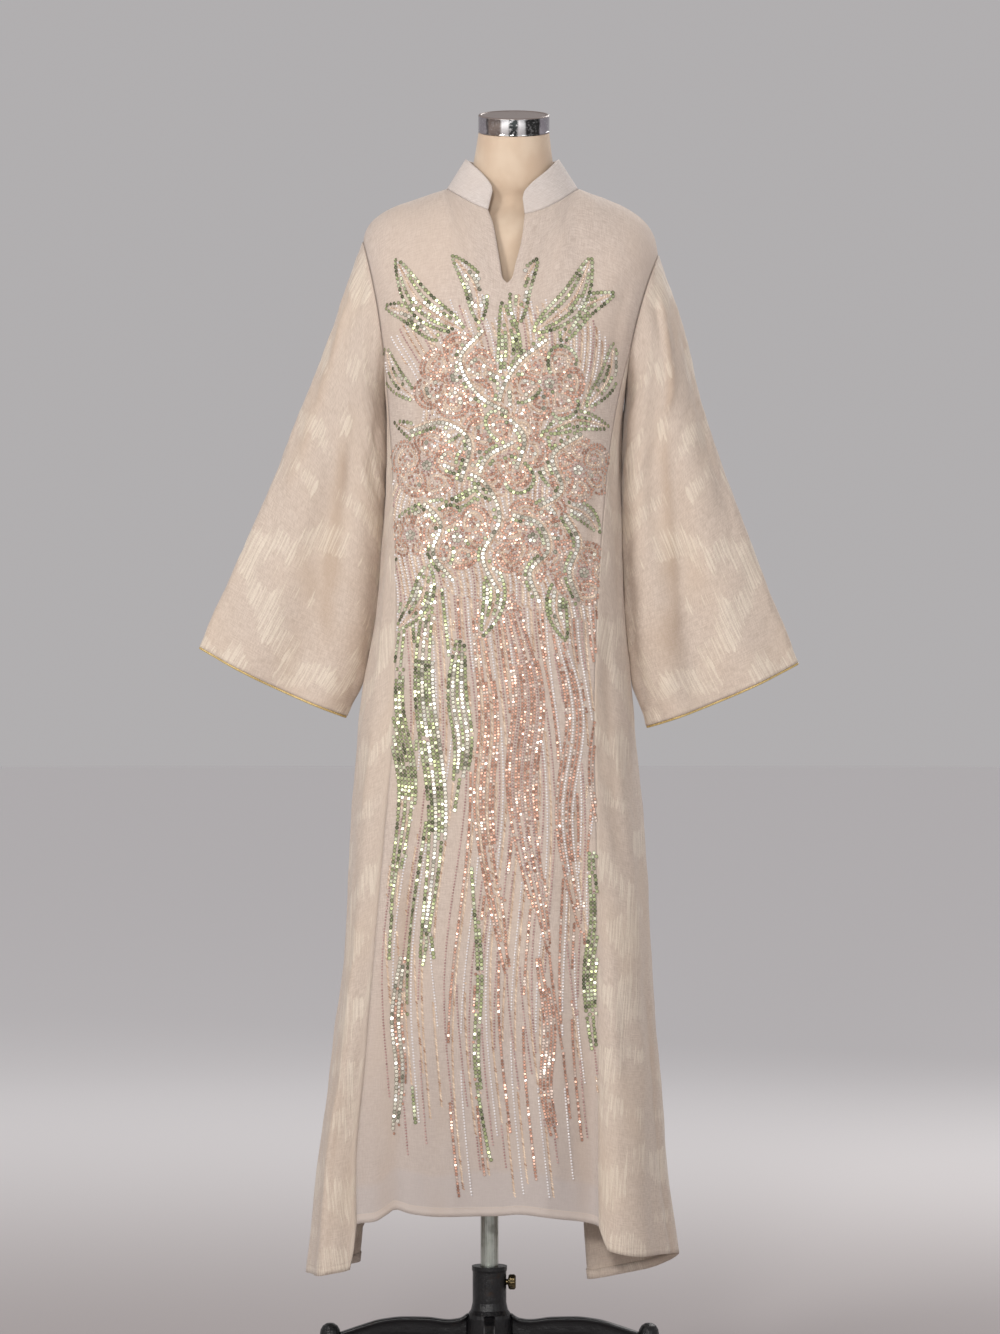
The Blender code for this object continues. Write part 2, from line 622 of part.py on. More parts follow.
def cloth(name, grids, surface, wall, material, depth=0.0):
    """A wall over one or more grids of surface places. Equal places share their points.

    surface gives a point and the outward normal. depth sinks the wall under the surface."""
    index, points, inner, facets = {}, [], [], []
    for grid in grids:
        for upper, lower in zip(grid, grid[1:]):
            for corner in range(len(upper) - 1):
                quad = []
                for place in (upper[corner], upper[corner + 1], lower[corner + 1], lower[corner]):
                    if place not in index:
                        index[place] = len(points)
                        point, normal = surface(place)
                        points.append(point - normal * depth)
                        inner.append(point - normal * (depth + wall))
                    quad.append(index[place])
                facets += [quad[:3], [quad[0], quad[2], quad[3]]]
    count = len(points)
    used = collections.Counter(
        frozenset(edge) for facet in facets for edge in zip(facet, facet[1:] + facet[:1]))
    rim = [sorted(edge) for edge, times in used.items() if times == 1]
    faces = list(facets)
    faces += [[i + count for i in reversed(facet)] for facet in facets]
    faces += [[end, start, start + count, end + count] for start, end in rim]
    return solid(name, points + inner, faces, material)


def normal_of(point_at, first, second, outside, first_range=(0.0, 1.0), second_range=(0.0, 1.0)):
    """The outward normal of a surface, from short steps that stay on it."""
    step = 1e-3
    across = (point_at(min(first + step, first_range[1]), second)
              - point_at(max(first - step, first_range[0]), second))
    along = (point_at(first, min(second + step, second_range[1]))
             - point_at(first, max(second - step, second_range[0])))
    normal = across.cross(along).normalized()
    return normal if normal.dot(outside) > 0 else -normal


def skirt_normal(around, share):
    """The skirt's outward normal. Close to a seam both of its pieces take the seam's own normal."""
    for seam in (-2, -1, 1, 2):
        if abs(around - seam) < 0.02:
            around = seam
    run = skirt(around + 0.01, share) - skirt(around - 0.01, share)
    drop = skirt(around, min(share + 0.002, 1)) - skirt(around, max(share - 0.002, 0))
    return drop.cross(run).normalized()


def step_in(point_at, place, other, direction, distance=SEAM / 2):
    """The place moved across a surface by a real distance."""
    step = 1e-3
    speed = (point_at(place + direction * step, other) - point_at(place, other)).length / step
    return place + direction * distance / speed


def shares(count, start=0.0, end=1.0, crowd=1.0):
    """Evenly stepped places, closer together near the start when crowd is over 1."""
    return [lerp(start, end, (i / count) ** crowd) for i in range(count + 1)]


YOKE_ROWS = [0.0, 0.05, 0.13, 0.25, 0.37, 0.47, 0.50, 0.57, 0.76]
SKIRT_ROWS = shares(15, 0.0, 1.0, 1.1)[:-1] + [1 - HEM_DEPTH / 1.17, 1.0]
PANEL_ROWS = [YOKE * share for share in YOKE_ROWS] + [lerp(YOKE, 1.0, share) for share in SKIRT_ROWS]
ACROSS = [0.0, 0.10, 0.23, 0.34, 0.45, 0.60, 0.73, 0.86, 1.0]


def panel_grids(point_at, split_above=None):
    """Two half grids that share their middle line, except above the end of a slit."""
    grids = []
    for side in ("left", "right"):
        grid = []
        for down in PANEL_ROWS:
            row = []
            for place in ACROSS:
                across, line = place, down
                middle = place == 0 and (split_above is None or down >= split_above)
                if place == ACROSS[-1]:
                    across = step_in(lambda p, d, s=side: point_at(s, p, d), place, down, -1)
                if down == 0:
                    edge_side = "left" if middle else side
                    line = step_in(lambda d, p, s=edge_side: point_at(s, p, d), 0.0, across, 1)
                row.append(("middle" if middle else side, across, line))
            grid.append(row)
        grids.append(grid)
    return grids


def panel_surface(point_at, outside, slit=False):
    """Point and normal on a front or back panel; the middle line takes the mean of both sides."""
    def surface(place):
        side, across, down = place
        found = []
        for one in (("left", "right") if side == "middle" else (side,)):
            point = point_at(one, across, down)
            if down >= YOKE:
                share = (down - YOKE) / (1 - YOKE)
                sign = -1 if one == "left" else 1
                around = sign * (across if slit else 3 - across)
                normal = skirt_normal(around, share)
            else:
                normal = normal_of(lambda a, d, s=one: point_at(s, a, d), across, down,
                                   outside + UP * smooth(1 - down / YOKE), (0, 1), (0, 1))
            found.append((point, normal))
        point = sum((each[0] for each in found), Vector()) / len(found)
        normal = sum((each[1] for each in found), Vector()).normalized()
        if down < 0.02 * YOKE and across > NECK_SHARE:
            normal = Vector((normal.x, 0, normal.z)).normalized()
        return point, normal
    return surface


SIDE_ACROSS = [0.0, 0.03, 0.07, 0.13, 0.20, 0.30, 0.42, 0.50, 0.58, 0.66, 0.74, 0.82, 0.90, 0.96, 1.0]


def side_surface(side):
    sign = -1 if side == "left" else 1
    def surface(place):
        across, down = place
        return side_point(side, across, down), skirt_normal(sign * (1 + across), down)
    return surface


def make_panels():
    front = panel_grids(front_point, YOKE * SLIT_END)
    cloth("front_panel", front, panel_surface(front_point, Vector((0, -1, 0)), True), WALL, "plain_cloth")
    back = panel_grids(back_point)
    cloth("back_panel", back, panel_surface(back_point, Vector((0, 1, 0))), WALL, "jacquard")
    for side in ("left", "right"):
        cloth("side_panel_" + side, [side_grid(side, SKIRT_ROWS)], side_surface(side),
              WALL, "jacquard")


def side_grid(side, rows):
    grid = []
    for down in rows:
        row = []
        for place in SIDE_ACROSS:
            direction = {0.0: 1, 1.0: -1}.get(place, 0)
            across = place
            if direction:
                across = step_in(lambda p, d: side_point(side, p, d), place, down, direction)
            row.append((across, down))
        grid.append(row)
    return grid


def make_hems():
    """The turn-ups, each a low band inside the foot of its panel."""
    for name, point_at, outside, slit, material in (
            ("hem_front", front_point, Vector((0, -1, 0)), True, "plain_cloth"),
            ("hem_back", back_point, Vector((0, 1, 0)), False, "jacquard")):
        grids = [grid[-2:] for grid in panel_grids(point_at)]
        cloth(name, grids, panel_surface(point_at, outside, slit), LAYER, material, WALL + SEAM)
    for side in ("left", "right"):
        cloth("hem_" + side, [side_grid(side, SKIRT_ROWS[-2:])], side_surface(side), LAYER,
              "jacquard", WALL + SEAM)


def sleeve_surface(side):
    sign = SHOULDERS[side]["side"]
    def surface(place):
        turn, along = place
        point = sleeve_point(side, turn, along)
        step = 1e-3
        run = sleeve_point(side, turn + step, along) - sleeve_point(side, turn - step, along)
        ahead = (sleeve_point(side, turn, min(along + step, 1.0))
                 - sleeve_point(side, turn, max(along - step, 0.0)))
        return point, run.cross(ahead).normalized() * sign
    return surface


SLEEVE_TURNS = 24


def sleeve_ring(along):
    return [(i % SLEEVE_TURNS / SLEEVE_TURNS, along) for i in range(SLEEVE_TURNS + 1)]


def make_sleeves():
    for side in ("left", "right"):
        rows = [0.0, 0.04, 0.10, 0.17, 0.25, 0.34, 0.44, 0.54, 0.64, 0.74, 0.83, 0.92, 1.0]
        cloth("sleeve_" + side, [[sleeve_ring(along) for along in rows]], sleeve_surface(side), WALL,
              "jacquard")
        make_cuff_edge(side)


def make_cuff_edge(side):
    """The rolled gold edge: a thicker ring that carries on from the sleeve's end."""
    surface = sleeve_surface(side)
    def edge(place):
        turn, drop = place
        point, normal = surface((turn, 1.0))
        inside = surface((turn, 0.97))[0]
        ahead = (point - inside).normalized()
        return point + ahead * (SEAM + drop * CUFF_EDGE) + normal * (EDGE_WALL - WALL) / 2, normal
    rows = [[(turn, drop) for turn, _ in sleeve_ring(1.0)] for drop in (0.0, 1.0)]
    cloth("cuff_edge_" + side, [rows], edge, EDGE_WALL, "gold_edge")


def make_collar():
    start, end = COLLAR_ENDS["left"][0], 2 * math.pi - COLLAR_ENDS["right"][0]
    angles = shares(26, start, end)
    angles[1:1] = [start + COLLAR_ROUND * 0.2]
    angles[-1:-1] = [end - COLLAR_ROUND * 0.2]
    def surface(place):
        angle, up = place
        step = 1e-3
        run = collar_point(min(angle + step, end), up) - collar_point(max(angle - step, start), up)
        rise = collar_point(angle, min(up + step, 1)) - collar_point(angle, max(up - step, 0))
        normal = run.cross(rise).normalized()
        away = collar_point(angle, up) - Vector((NECK["x"], 0, 0))
        away.z = 0
        return collar_point(angle, up), normal if normal.dot(away) > 0 else -normal
    grid = [[(angle, up) for angle in angles] for up in (0.0, 0.5, 1.0)]
    cloth("collar", [grid], surface, COLLAR_WALL, "plain_cloth")


def make_facing():
    """The facing inside the slit: the panel's first strip on each side, joined under the slit's end."""
    surface = panel_surface(front_point, Vector((0, -1, 0)), True)
    grids = [[row[:2] for row in grid[:FACING_ROWS]] for grid in panel_grids(front_point, YOKE * SLIT_END)]
    cloth("neck_facing", grids, surface, LAYER, "plain_cloth", WALL + SEAM)


def turned(name, profile, material, segments=24, centre=(0, 0), axis_closed=True):
    """A round solid from (height, radius) pairs listed from the top, down the outside and back."""
    points, faces, rings = [], [], []
    for height, radius in profile:
        if radius == 0:
            rings.append([len(points)])
            points.append(Vector((centre[0], centre[1], height)))
            continue
        rings.append(list(range(len(points), len(points) + segments)))
        for i in range(segments):
            angle = 2 * math.pi * i / segments
            points.append(Vector((centre[0] + radius * math.cos(angle),
                                  centre[1] + radius * math.sin(angle), height)))
    pairs = list(zip(rings, rings[1:]))
    if not axis_closed:
        pairs.append((rings[-1], rings[0]))
    for upper, lower in pairs:
        for i in range(segments):
            after = (i + 1) % segments
            quad = [upper[i % len(upper)], upper[after % len(upper)],
                    lower[after % len(lower)], lower[i % len(lower)]]
            faces.append(list(dict.fromkeys(quad)))
    return solid(name, points, faces, material)


def make_form():
    """The padded form: stacked rings from its foot to the top of its neck."""
    segments = 28
    heights = [0.840, 0.856, 0.90, 0.96, 1.02, 1.08, 1.14, 1.20, 1.26, 1.32, 1.37, 1.42, 1.47, 1.52, 1.56,
               1.59, 1.615, 1.632, 1.6405, 1.648, 1.654, 1.660, 1.6662, 1.673, 1.685, 1.705, 1.7443]
    points = [form_point(2 * math.pi * i / segments, height) for height in heights for i in range(segments)]
    faces = []
    for level in range(len(heights) - 1):
        for i in range(segments):
            after = (i + 1) % segments
            low, high = level * segments, (level + 1) * segments
            faces.append([low + i, low + after, high + after, high + i])
    faces.append(list(range(segments))[::-1])
    faces.append([len(points) - segments + i for i in range(segments)])
    return solid("form_torso", points, faces, "jersey")


def make_cap():
    """The metal cap on the neck, tilted with it."""
    bevel, radius, height = CAP["bevel"], CAP["radius"], CAP["height"]
    profile = [(height, 0), (height, radius - bevel), (height - bevel * 0.3, radius - bevel * 0.3),
               (height - bevel, radius), (bevel * 0.4, radius), (0, radius - bevel * 0.4), (0, 0)]
    cap = turned("form_neck_cap", profile, "chrome", 36)
    top = FORM["height"][-1]
    cap.rotation_euler = (CAP["tilt"], 0, 0)
    place = Vector((POLE_X + LEAN * (top - LEAN_FROM), -FORM["forward"][-1], top))
    cap.location = place + Matrix.Rotation(CAP["tilt"], 3, "X") @ UP * SEAM


def make_pole():
    turned("pole", [(FORM_FOOT - SEAM, 0), (FORM_FOOT - SEAM, POLE_RADIUS), (POLE_FOOT, POLE_RADIUS),
                    (POLE_FOOT, 0)], "aluminium", 24, (POLE_X, 0))
    bore = POLE_RADIUS + RUNNING
    top, foot = FORM_FOOT - SEAM, FORM_FOOT - BOSS["height"]
    flange_foot = top - BOSS["flange_height"]
    turned("form_boss", [(top, bore), (top, BOSS["flange"]), (flange_foot, BOSS["flange"]),
                         (flange_foot, BOSS["radius"]), (foot, BOSS["radius"]), (foot, bore)],
           "wood", 24, (POLE_X, 0), axis_closed=False)


def make_hub():
    """The cast socket, bored for the pole and drilled for the clamping screw."""
    bore = POLE_RADIUS + RUNNING
    heights, radii = HUB["height"], HUB["radius"]
    profile = [(heights[0], bore), *zip(heights, radii), (heights[-1], bore)]
    hub = turned("stand_hub", profile, "cast_iron", 32, (POLE_X, 0), axis_closed=False)
    cutter = x_cylinder("screw_hole", SCREW["hole"], POLE_X + 0.006, POLE_X + 0.040, 16, "cast_iron")
    cutter.hide_render = True
    cutter.display_type = "WIRE"
    cut = hub.modifiers.new("screw hole", "BOOLEAN")
    cut.operation = "DIFFERENCE"
    cut.object = cutter


def x_cylinder(name, radius, start, end, segments, material):
    """A cylinder along X at the screw's height, from start to end."""
    made = turned(name, [(end - start, 0), (end - start, radius), (0, radius), (0, 0)], material, segments)
    made.rotation_euler = (0, math.pi / 2, 0)
    made.location = (start, 0, SCREW["height"])
    return made


def make_screw():
    """The thumb screw, with its origin on the axis it turns about."""
    start = POLE_RADIUS + SEAM * 2
    neck, end = SCREW["knob_start"], SCREW["knob_end"]
    segments = SCREW["grips"] * 4
    stations = [(0, 0), (0, SCREW["shank"]), (neck - start, SCREW["shank"]),
                (neck - start + 0.0012, SCREW["knob_radius"] * 0.90), (neck - start + 0.0030, None),
                (end - start - 0.0020, None), (end - start, SCREW["knob_radius"] * 0.82),
                (end - start, 0)]
    points, faces, rings = [], [], []
    for along, radius in stations:
        if radius == 0:
            rings.append([len(points)])
            points.append(Vector((along, 0, 0)))
            continue
        rings.append(list(range(len(points), len(points) + segments)))
        for i in range(segments):
            angle = 2 * math.pi * i / segments
            grip = SCREW["knob_radius"] * (1 + 0.045 * math.cos(SCREW["grips"] * angle))
            reach = radius if radius else grip
            points.append(Vector((along, reach * math.cos(angle), reach * math.sin(angle))))
    for before, after_ring in zip(rings, rings[1:]):
        for i in range(segments):
            after = (i + 1) % segments
            quad = [before[i % len(before)], before[after % len(before)],
                    after_ring[after % len(after_ring)], after_ring[i % len(after_ring)]]
            faces.append(list(dict.fromkeys(quad)))
    screw = solid("thumb_screw", points, faces, "brass")
    screw.location = (POLE_X + start, 0, SCREW["height"])


def leg_section(along):
    """A leg's cross-section, a web with a flange along its top, as (sideways, height) pairs."""
    top = read(LEG, "top", "along", along)
    foot = top - read(LEG, "depth", "along", along)
    rim = top - LEG_RIM
    right = [(LEG_FLANGE, top), (LEG_FLANGE, rim), (LEG_WEB, rim - 0.002), (LEG_WEB, foot)]
    return right + [(-side, height) for side, height in reversed(right)]


def make_leg(name, direction):
    """One cast arm from the hub to its foot."""
    stations = [0.0305, 0.036, 0.045, 0.06, 0.085, 0.11, 0.135, 0.16, 0.18, 0.2005]
    turn = Matrix.Rotation(direction, 3, "Z")
    points, faces = [], []
    for along in stations:
        points += [turn @ Vector((along, side, height)) + Vector((POLE_X, 0, 0))
                   for side, height in leg_section(along)]
    size = len(leg_section(stations[0]))
    for level in range(len(stations) - 1):
        for i in range(size):
            after = (i + 1) % size
            low, high = level * size, (level + 1) * size
            faces.append([low + i, low + after, high + after, high + i])
    faces.append(list(range(size)))
    faces.append([len(points) - size + i for i in range(size)])
    solid(name, points, faces, "cast_iron")


def make_stand():
    make_hub()
    make_screw()
    for side, direction in SIDES.items():
        make_leg("stand_leg_" + side, direction)
        centre = (POLE_X + FOOT_REACH * math.cos(direction), FOOT_REACH * math.sin(direction))
        turned("stand_foot_" + side, list(zip(FOOT["height"], FOOT["radius"])), "cast_iron", 20, centre)


def main():
    clear_scene()
    make_panels()
    make_hems()
    make_sleeves()
    make_collar()
    make_facing()
    make_form()
    make_cap()
    make_pole()
    make_stand()


main()
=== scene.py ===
# %% [markdown]
# # An embroidered abaya on a dress form
#
# A long, straight abaya hangs on a padded, limbless form with a cast iron base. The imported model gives
# every piece its true place and size. This lesson dresses it: fine cloth shells with creases, a
# woven figure, a turned-up hem, sequins and beads, and worn metal.
#
# We work piece by piece. Each markdown cell says what the real thing is and why we make it this way.

import math
from math import pi

import bpy
import numpy as np
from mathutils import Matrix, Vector
from mathutils.bvhtree import BVHTree


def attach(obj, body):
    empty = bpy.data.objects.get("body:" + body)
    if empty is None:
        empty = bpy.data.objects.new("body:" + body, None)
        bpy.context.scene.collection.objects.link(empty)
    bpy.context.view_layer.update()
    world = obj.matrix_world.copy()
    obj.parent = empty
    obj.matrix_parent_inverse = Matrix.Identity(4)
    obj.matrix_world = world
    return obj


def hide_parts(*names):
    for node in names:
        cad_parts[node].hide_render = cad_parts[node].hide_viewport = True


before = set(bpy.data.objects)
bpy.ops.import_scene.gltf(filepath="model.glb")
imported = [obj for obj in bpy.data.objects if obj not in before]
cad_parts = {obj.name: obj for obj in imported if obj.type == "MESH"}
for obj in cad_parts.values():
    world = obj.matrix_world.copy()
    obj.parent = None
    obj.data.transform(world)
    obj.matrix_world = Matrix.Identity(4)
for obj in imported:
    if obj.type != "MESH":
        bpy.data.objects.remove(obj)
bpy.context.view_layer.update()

# %% [markdown]
# ## The garment's cut, as tables
#
# A pattern cutter works from a few measures, and so do we. The skirt is a stack of soft rings with
# folds, the hem has its own uneven line, and each sleeve flares from the armhole to a wide cuff.
# We write the measures as tables with named columns, and read them along a smooth curve that never
# overshoots, so a few rows describe a whole side of the garment.


# %% Tables and a smooth way to read them
def table(names, *rows):
    return dict(zip(names.split(), np.array(rows, dtype=float).T))


def rows_of(columns):
    """A table's rows, each with its values by name."""
    return [dict(zip(columns, row)) for row in zip(*columns.values())]


def lerp(start, end, share):
    return start + (end - start) * share


def smooth(value):
    value = np.clip(value, 0.0, 1.0)
    return value * value * (3 - 2 * value)


def read(columns, name, key, value):
    """One column of a table at values of its key column, which rises from row to row."""
    places, values = columns[key], columns[name]
    steps = np.diff(values) / np.diff(places)
    before, after = steps[:-1], steps[1:]
    total = np.where(before + after == 0, 1.0, before + after)
    inner = np.where(before * after <= 0, 0.0, 2 * before * after / total)
    slope = np.concatenate(([steps[0]], inner, [steps[-1]]))
    value = np.clip(value, places[0], places[-1])
    at = np.clip(np.searchsorted(places, value, side="right") - 1, 0, len(places) - 2)
    span = places[at + 1] - places[at]
    share = (value - places[at]) / span
    return (values[at] * (1 + 2 * share) * (1 - share) ** 2 + slope[at] * span * share * (1 - share) ** 2
            + values[at + 1] * share ** 2 * (3 - 2 * share)
            + slope[at + 1] * span * share ** 2 * (share - 1))


def measures(columns, key, value):
    """All other columns of a table at values of its key column."""
    return {name: read(columns, name, key, value) for name in columns if name != key}


def xyz(x, y, z):
    return np.stack(np.broadcast_arrays(x, y, z), -1).astype(float)


def each(value):
    """A number for each point, ready to scale points."""
    return np.asarray(value, dtype=float)[..., None]


def unit(vectors):
    return vectors / np.linalg.norm(vectors, axis=-1, keepdims=True)


def run_of(points):
    """How far along a line each of its points lies."""
    return np.concatenate(([0.0], np.cumsum(np.linalg.norm(np.diff(points, axis=0), axis=1))))


def at_places(places, along, points):
    """A line's points at places along it."""
    return np.stack([np.interp(places, along, column) for column in points.T], -1)


def fading(value, reach):
    """1 at 0, and down to 0 at its reach."""
    return np.maximum(0.0, 1 - value / reach) ** 2


def hump(gap):
    """1 in the middle of a fold and 0 from its reach on."""
    return np.where(np.abs(gap) < 1, np.cos(pi / 2 * gap) ** 2, 0.0)


WALL = 0.0014       # the cloth's thickness
SECTIONS = table(
    "height left right front back seam_left seam_right middle",
    (0.19, 0.264, 0.249, 0.117, 0.142, 0.186, 0.134, 0),
    (0.35, 0.2455, 0.228, 0.12, 0.137, 0.19, 0.132, 0),
    (0.5, 0.2265, 0.215, 0.123, 0.13, 0.178, 0.131, 0),
    (0.65, 0.209, 0.2035, 0.125, 0.124, 0.166, 0.13, 0),
    (0.8, 0.202, 0.1925, 0.126, 0.118, 0.153, 0.129, 0),
    (0.95, 0.191, 0.179, 0.127, 0.112, 0.141, 0.126, 0.001),
    (1.1, 0.1665, 0.169, 0.128, 0.108, 0.138, 0.13, 0.003),
    (1.25, 0.156, 0.165, 0.129, 0.104, 0.142, 0.141, 0.006),
    (1.35, 0.153, 0.1655, 0.13, 0.101, 0.147, 0.151, 0.008),
    (1.45, 0.158, 0.172, 0.127, 0.098, 0.15, 0.161, 0.009),
)
FOLDS = table(
    "around reach out lean start power",
    (-1.17, 0.2, 0.032, 0.02, 1.15, 1), (-1.74, 0.2, -0.062, 0, 0.9, 1.3),
    (1.13, 0.2, 0.02, -0.016, 1, 1), (1.74, 0.23, -0.128, 0, 0.92, 1.3),
    (-0.58, 0.4, 0.007, 0, 0.9, 1), (-0.08, 0.34, -0.006, 0, 0.8, 1),
    (0.42, 0.4, 0.007, 0, 0.95, 1), (-2.3, 0.42, 0.022, 0, 1.2, 1),
    (-2.72, 0.34, -0.018, 0, 1.05, 1), (3.02, 0.4, 0.02, 0, 1.25, 1),
    (2.6, 0.34, -0.018, 0, 1, 1), (2.22, 0.34, 0.02, 0, 1.1, 1),
)
HEM = table(
    "around height",
    (-3, 0.278), (-2.4, 0.276), (-2.08, 0.272), (-2, 0.262), (-1.96, 0.233), (-1.74, 0.218),
    (-1.5, 0.2105), (-1.3, 0.2135), (-1.2, 0.2165), (-1.1, 0.2205), (-1.03, 0.225), (-1, 0.2845),
    (-0.88, 0.2885), (-0.8, 0.298), (-0.73, 0.306), (-0.6, 0.301), (-0.4, 0.297), (0, 0.298),
    (0.2, 0.3005), (0.6, 0.294),
    (1, 0.2835), (1.03, 0.254), (1.1, 0.247), (1.2, 0.2424), (1.3, 0.241), (1.5, 0.2373),
    (1.62, 0.212), (1.74, 0.199), (1.88, 0.212), (1.96, 0.23), (2, 0.262), (2.08, 0.271),
    (2.4, 0.276), (3, 0.278),
)
SECTION_POWER = 2.5
BACK_SEAM = math.radians(138)
LOWEST = HEM["height"].min()
print(len(SECTIONS["height"]), "sections,", len(FOLDS["around"]), "folds, hem from", LOWEST)

# %% [markdown]
# ## The skirt as one smooth surface
#
# Places around the skirt run from -1 to 1 over the front panel, to 2 and -2 over the side panels and on
# to 3 at the middle of the back. Because neighbours share one surface, they meet at their seams
# by themselves. Each fold moves its cloth in a single direction, so even a deep tuck stays open.


# %% The skirt's rings and folds
def wrap(around):
    return (np.asarray(around, dtype=float) + 3) % 6 - 3


def paired(first, second):
    """Two sets of numbers brought to one shape."""
    return np.broadcast_arrays(np.asarray(first, dtype=float), np.asarray(second, dtype=float))


def by_side(around, left, right):
    return np.where(around < 0, left, right)


def ring(around, height):
    around, height = paired(wrap(around), height)
    size = measures(SECTIONS, "height", height)
    width = by_side(around, size["left"], size["right"])
    seam = by_side(around, size["seam_left"], size["seam_right"])
    sign, place = by_side(around, -1, 1), np.abs(around)
    start = np.arcsin((seam / width) ** (SECTION_POWER / 2))
    angle = lerp(start, BACK_SEAM, np.clip(place - 1, 0, 1))
    side_depth = np.abs(np.cos(angle)) ** (2 / SECTION_POWER)
    on_side = (place > 1) & (place < 2)
    back_x = sign * width * math.sin(BACK_SEAM) ** (2 / SECTION_POWER) * (3 - place)
    flat_x = np.where(place <= 1, lerp(size["middle"], sign * seam, place), back_x)
    flat_depth = np.maximum(1 - np.abs(flat_x / width) ** SECTION_POWER, 0) ** (1 / SECTION_POWER)
    x = np.where(on_side, sign * width * np.sin(angle) ** (2 / SECTION_POWER), flat_x)
    side_y = np.where(np.cos(angle) > 0, -size["front"], size["back"]) * side_depth
    flat_y = np.where(place <= 1, -size["front"], size["back"]) * flat_depth
    return xyz(x, np.where(on_side, side_y, flat_y), height)


FOLDS_READ_AT = 0.35      # the height at which a fold's own direction is read
RUN = unit(ring(FOLDS["around"] + 0.01, FOLDS_READ_AT) - ring(FOLDS["around"] - 0.01, FOLDS_READ_AT))
OUTWARD = xyz(RUN[:, 1], -RUN[:, 0], 0)


def folded(around, height):
    around, height = paired(around, height)
    point = ring(around, height)
    for fold, outward, run in zip(rows_of(FOLDS), OUTWARD, RUN):
        start = fold["start"]
        grown = smooth((start - height) / (start - LOWEST)) ** fold["power"]
        rise = hump(wrap(around - fold["around"]) / fold["reach"]) * grown
        point = point + each(rise) * (outward * fold["out"] + run * fold["lean"])
    return point


print("the folds move the hem by", [round(float(out), 3) for out in FOLDS["out"]], "m")


# %% The armholes and the body under them
SIGN = {"left": -1, "right": 1}
SHOULDERS = {
    "left": {"corner": (-0.18, 0, 1.6375), "tip": (-0.184, 0, 1.598), "underarm": (-0.1525, 0, 1.4)},
    "right": {"corner": (0.2075, 0, 1.637), "tip": (0.214, 0, 1.58), "underarm": (0.17, 0, 1.41)},
}
ARMHOLE_DEPTH, ARMHOLE_HOLLOW = 0.061, 0.006
JOINT = math.radians(118)      # where on the armhole the side seams end
UNDERARM_FADE = 0.14


def armhole(side, angle):
    """0 at the shoulder, pi at the underarm, positive angles at the front."""
    shoulder = SHOULDERS[side]
    place = lerp(np.array(shoulder["tip"]), np.array(shoulder["underarm"]), each((1 - np.cos(angle)) / 2))
    hollow = -SIGN[side] * ARMHOLE_HOLLOW * np.sin(angle) ** 2
    return place + xyz(hollow, -ARMHOLE_DEPTH * np.sin(angle), 0)


def side_armhole(around, angle):
    return np.where(each(around) < 0, armhole("left", angle), armhole("right", angle))


def top_height(around):
    around = wrap(around)
    place = np.abs(around)
    under = side_armhole(around, lerp(JOINT, 2 * pi - JOINT, place - 1))[..., 2]
    share = np.where(place <= 1, around, np.copysign(3 - place, around))
    level = lerp(armhole("left", JOINT)[2], armhole("right", JOINT)[2], (share + 1) / 2)
    return np.where((place > 1) & (place < 2), under, level)


def underarm_pull(around, share):
    around, share = paired(wrap(around), share)
    place = np.abs(around)
    fade = fading(share, UNDERARM_FADE)
    edge = side_armhole(around, lerp(JOINT, 2 * pi - JOINT, place - 1))
    under = edge - folded(around, edge[..., 2])
    near = smooth(np.where(place < 1, place - 0.5, 2.5 - place) / 0.5)
    corner = side_armhole(around, np.where(place < 1, JOINT, -JOINT))
    seam = np.copysign(np.where(place < 1, 1, 2), around)
    over = (corner - folded(seam, corner[..., 2])) * each(near)
    return np.where(each((place >= 1) & (place <= 2)), under, over) * each(fade)


def skirt(around, share):
    height = lerp(top_height(around), read(HEM, "height", "around", wrap(around)), share)
    return folded(around, height) + underarm_pull(around, share)


print("hem at the front seams", skirt(np.array([-1.0, 1.0]), 1.0).round(4).tolist())

# %% [markdown]
# ## The yoke
#
# Above the underarm the cloth bends over the shoulders to the neckline. Every profile leaves the
# shoulder's ridge level and comes down upright, like a quarter of an egg, so no crease starts
# at the neck's corner. The slit then pushes the front apart, most at its top.


# %% The yoke, the neckline and the slit
YOKE, SLIT_END, SLIT_SPREAD, NECK_SHARE = 0.14, 0.59, 0.35, 0.45
YOKE_POWER = {True: 2.0, False: 2.6}
SHOULDER_TURN = 0.82
NECK_STEPS, SHOULDER_STEPS = 30, 90
NECK = {"x": 0.0176, "half_width": 0.0892, "front": 0.083, "back": 0.056, "height": 1.6693, "arch": 0.0148}
COLLAR_TOP = {"x": 0.0172, "y": -0.01, "half_width": 0.063, "front": 0.057, "back": 0.062}
COLLAR_HEIGHT = 0.04
COLLAR_ENDS = {"left": (math.radians(21.8), 0.026), "right": (math.radians(10.4), 0.022)}
COLLAR_ROUND = math.radians(26)
SLIT = table(
    "along left right",
    (0, 0.0246, 0.0247), (0.22, 0.0178, 0.0228), (0.46, 0.0136, 0.0195),
    (0.75, 0.0089, 0.0118), (0.94, 0.0058, 0.0066), (1, 0, 0),
)


